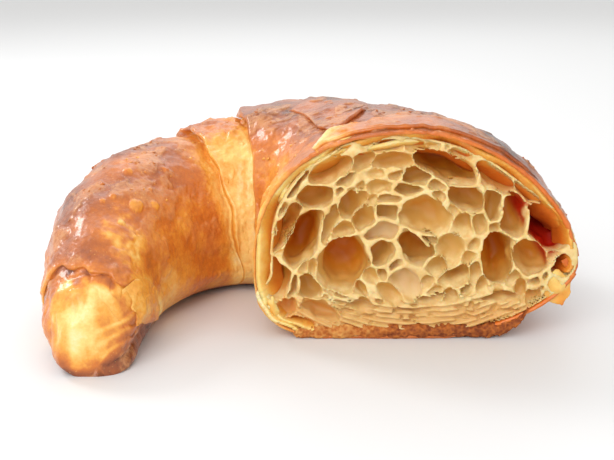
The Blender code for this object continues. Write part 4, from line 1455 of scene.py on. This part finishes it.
# Soft boxes, in metres: place, what they face, width, power
SOFT_BOXES = {
    "back_softbox": ((0.02, 0.50, 0.48), (0, 0, 0.02), 0.5, 0.9),
    "left_softbox": ((-0.36, 0.22, 0.34), (-0.03, 0, 0.02), 0.14, 0.9),
    "front_softbox": ((-0.22, -0.50, 0.40), (0, 0, 0.02), 0.45, 2.2),
}
FLOOR_HALF = 3.0
FLOOR_COLOUR = (0.76, 0.77, 0.78, 1.0)
FLOOR_ROUGHNESS = 0.6


def add_camera():
    """A camera that sees the cut's foot at the same pixel and scale as the photograph."""
    tilt = math.radians(ELEVATION)
    right = Vector((1, 0, 0))
    ahead = Vector((0, math.cos(tilt), -math.sin(tilt)))
    up = Vector((0, math.sin(tilt), math.cos(tilt)))
    distance = FOCAL_PIXELS / PIXELS_PER_MM
    across = (CUT_FOOT_PIXEL[0] - IMAGE_SIZE[0] / 2) / FOCAL_PIXELS
    down = (CUT_FOOT_PIXEL[1] - IMAGE_SIZE[1] / 2) / FOCAL_PIXELS
    place = -distance * (ahead + right * across - up * down)
    place = (place - Vector((*FOOTPRINT_MIDDLE, 0))) * MM
    data = bpy.data.cameras.new("camera")
    data.sensor_width = 36.0
    data.lens = FOCAL_PIXELS * data.sensor_width / IMAGE_SIZE[0]
    data.clip_start = 0.001
    camera = bpy.data.objects.new("camera", data)
    bpy.context.scene.collection.objects.link(camera)
    turned = Matrix((right, up, -ahead)).transposed().to_4x4()
    turned.translation = place
    camera.matrix_world = turned
    bpy.context.scene.camera = camera


def add_light(name, place, target, size, power):
    data = bpy.data.lights.new(name, "AREA")
    data.energy = power
    data.size = size
    light = bpy.data.objects.new(name, data)
    bpy.context.scene.collection.objects.link(light)
    light.location = place
    light.rotation_euler = (Vector(target) - Vector(place)).to_track_quat("-Z", "Y").to_euler()


def add_world():
    world = bpy.data.worlds.new("studio")
    bpy.context.scene.world = world
    world.use_nodes = True
    background = world.node_tree.nodes["Background"]
    background.inputs["Color"].default_value = WORLD_COLOUR
    background.inputs["Strength"].default_value = WORLD_STRENGTH


def add_floor():
    floor = bpy.data.meshes.new("floor")
    half = FLOOR_HALF
    corners = [(-half, -half, 0), (half, -half, 0), (half, half, 0), (-half, half, 0)]
    floor.from_pydata(corners, [], [(0, 1, 2, 3)])
    made = bpy.data.objects.new("floor", floor)
    bpy.context.scene.collection.objects.link(made)
    surface = bpy.data.materials.new("pale_floor")
    surface.use_nodes = True
    shader = surface.node_tree.nodes["Principled BSDF"]
    shader.inputs["Base Color"].default_value = FLOOR_COLOUR
    shader.inputs["Roughness"].default_value = FLOOR_ROUGHNESS
    floor.materials.append(surface)


build_croissant()
add_camera()
add_world()
for light, settings in SOFT_BOXES.items():
    add_light(light, *settings)
add_floor()
bpy.context.scene.view_settings.view_transform = "Standard"
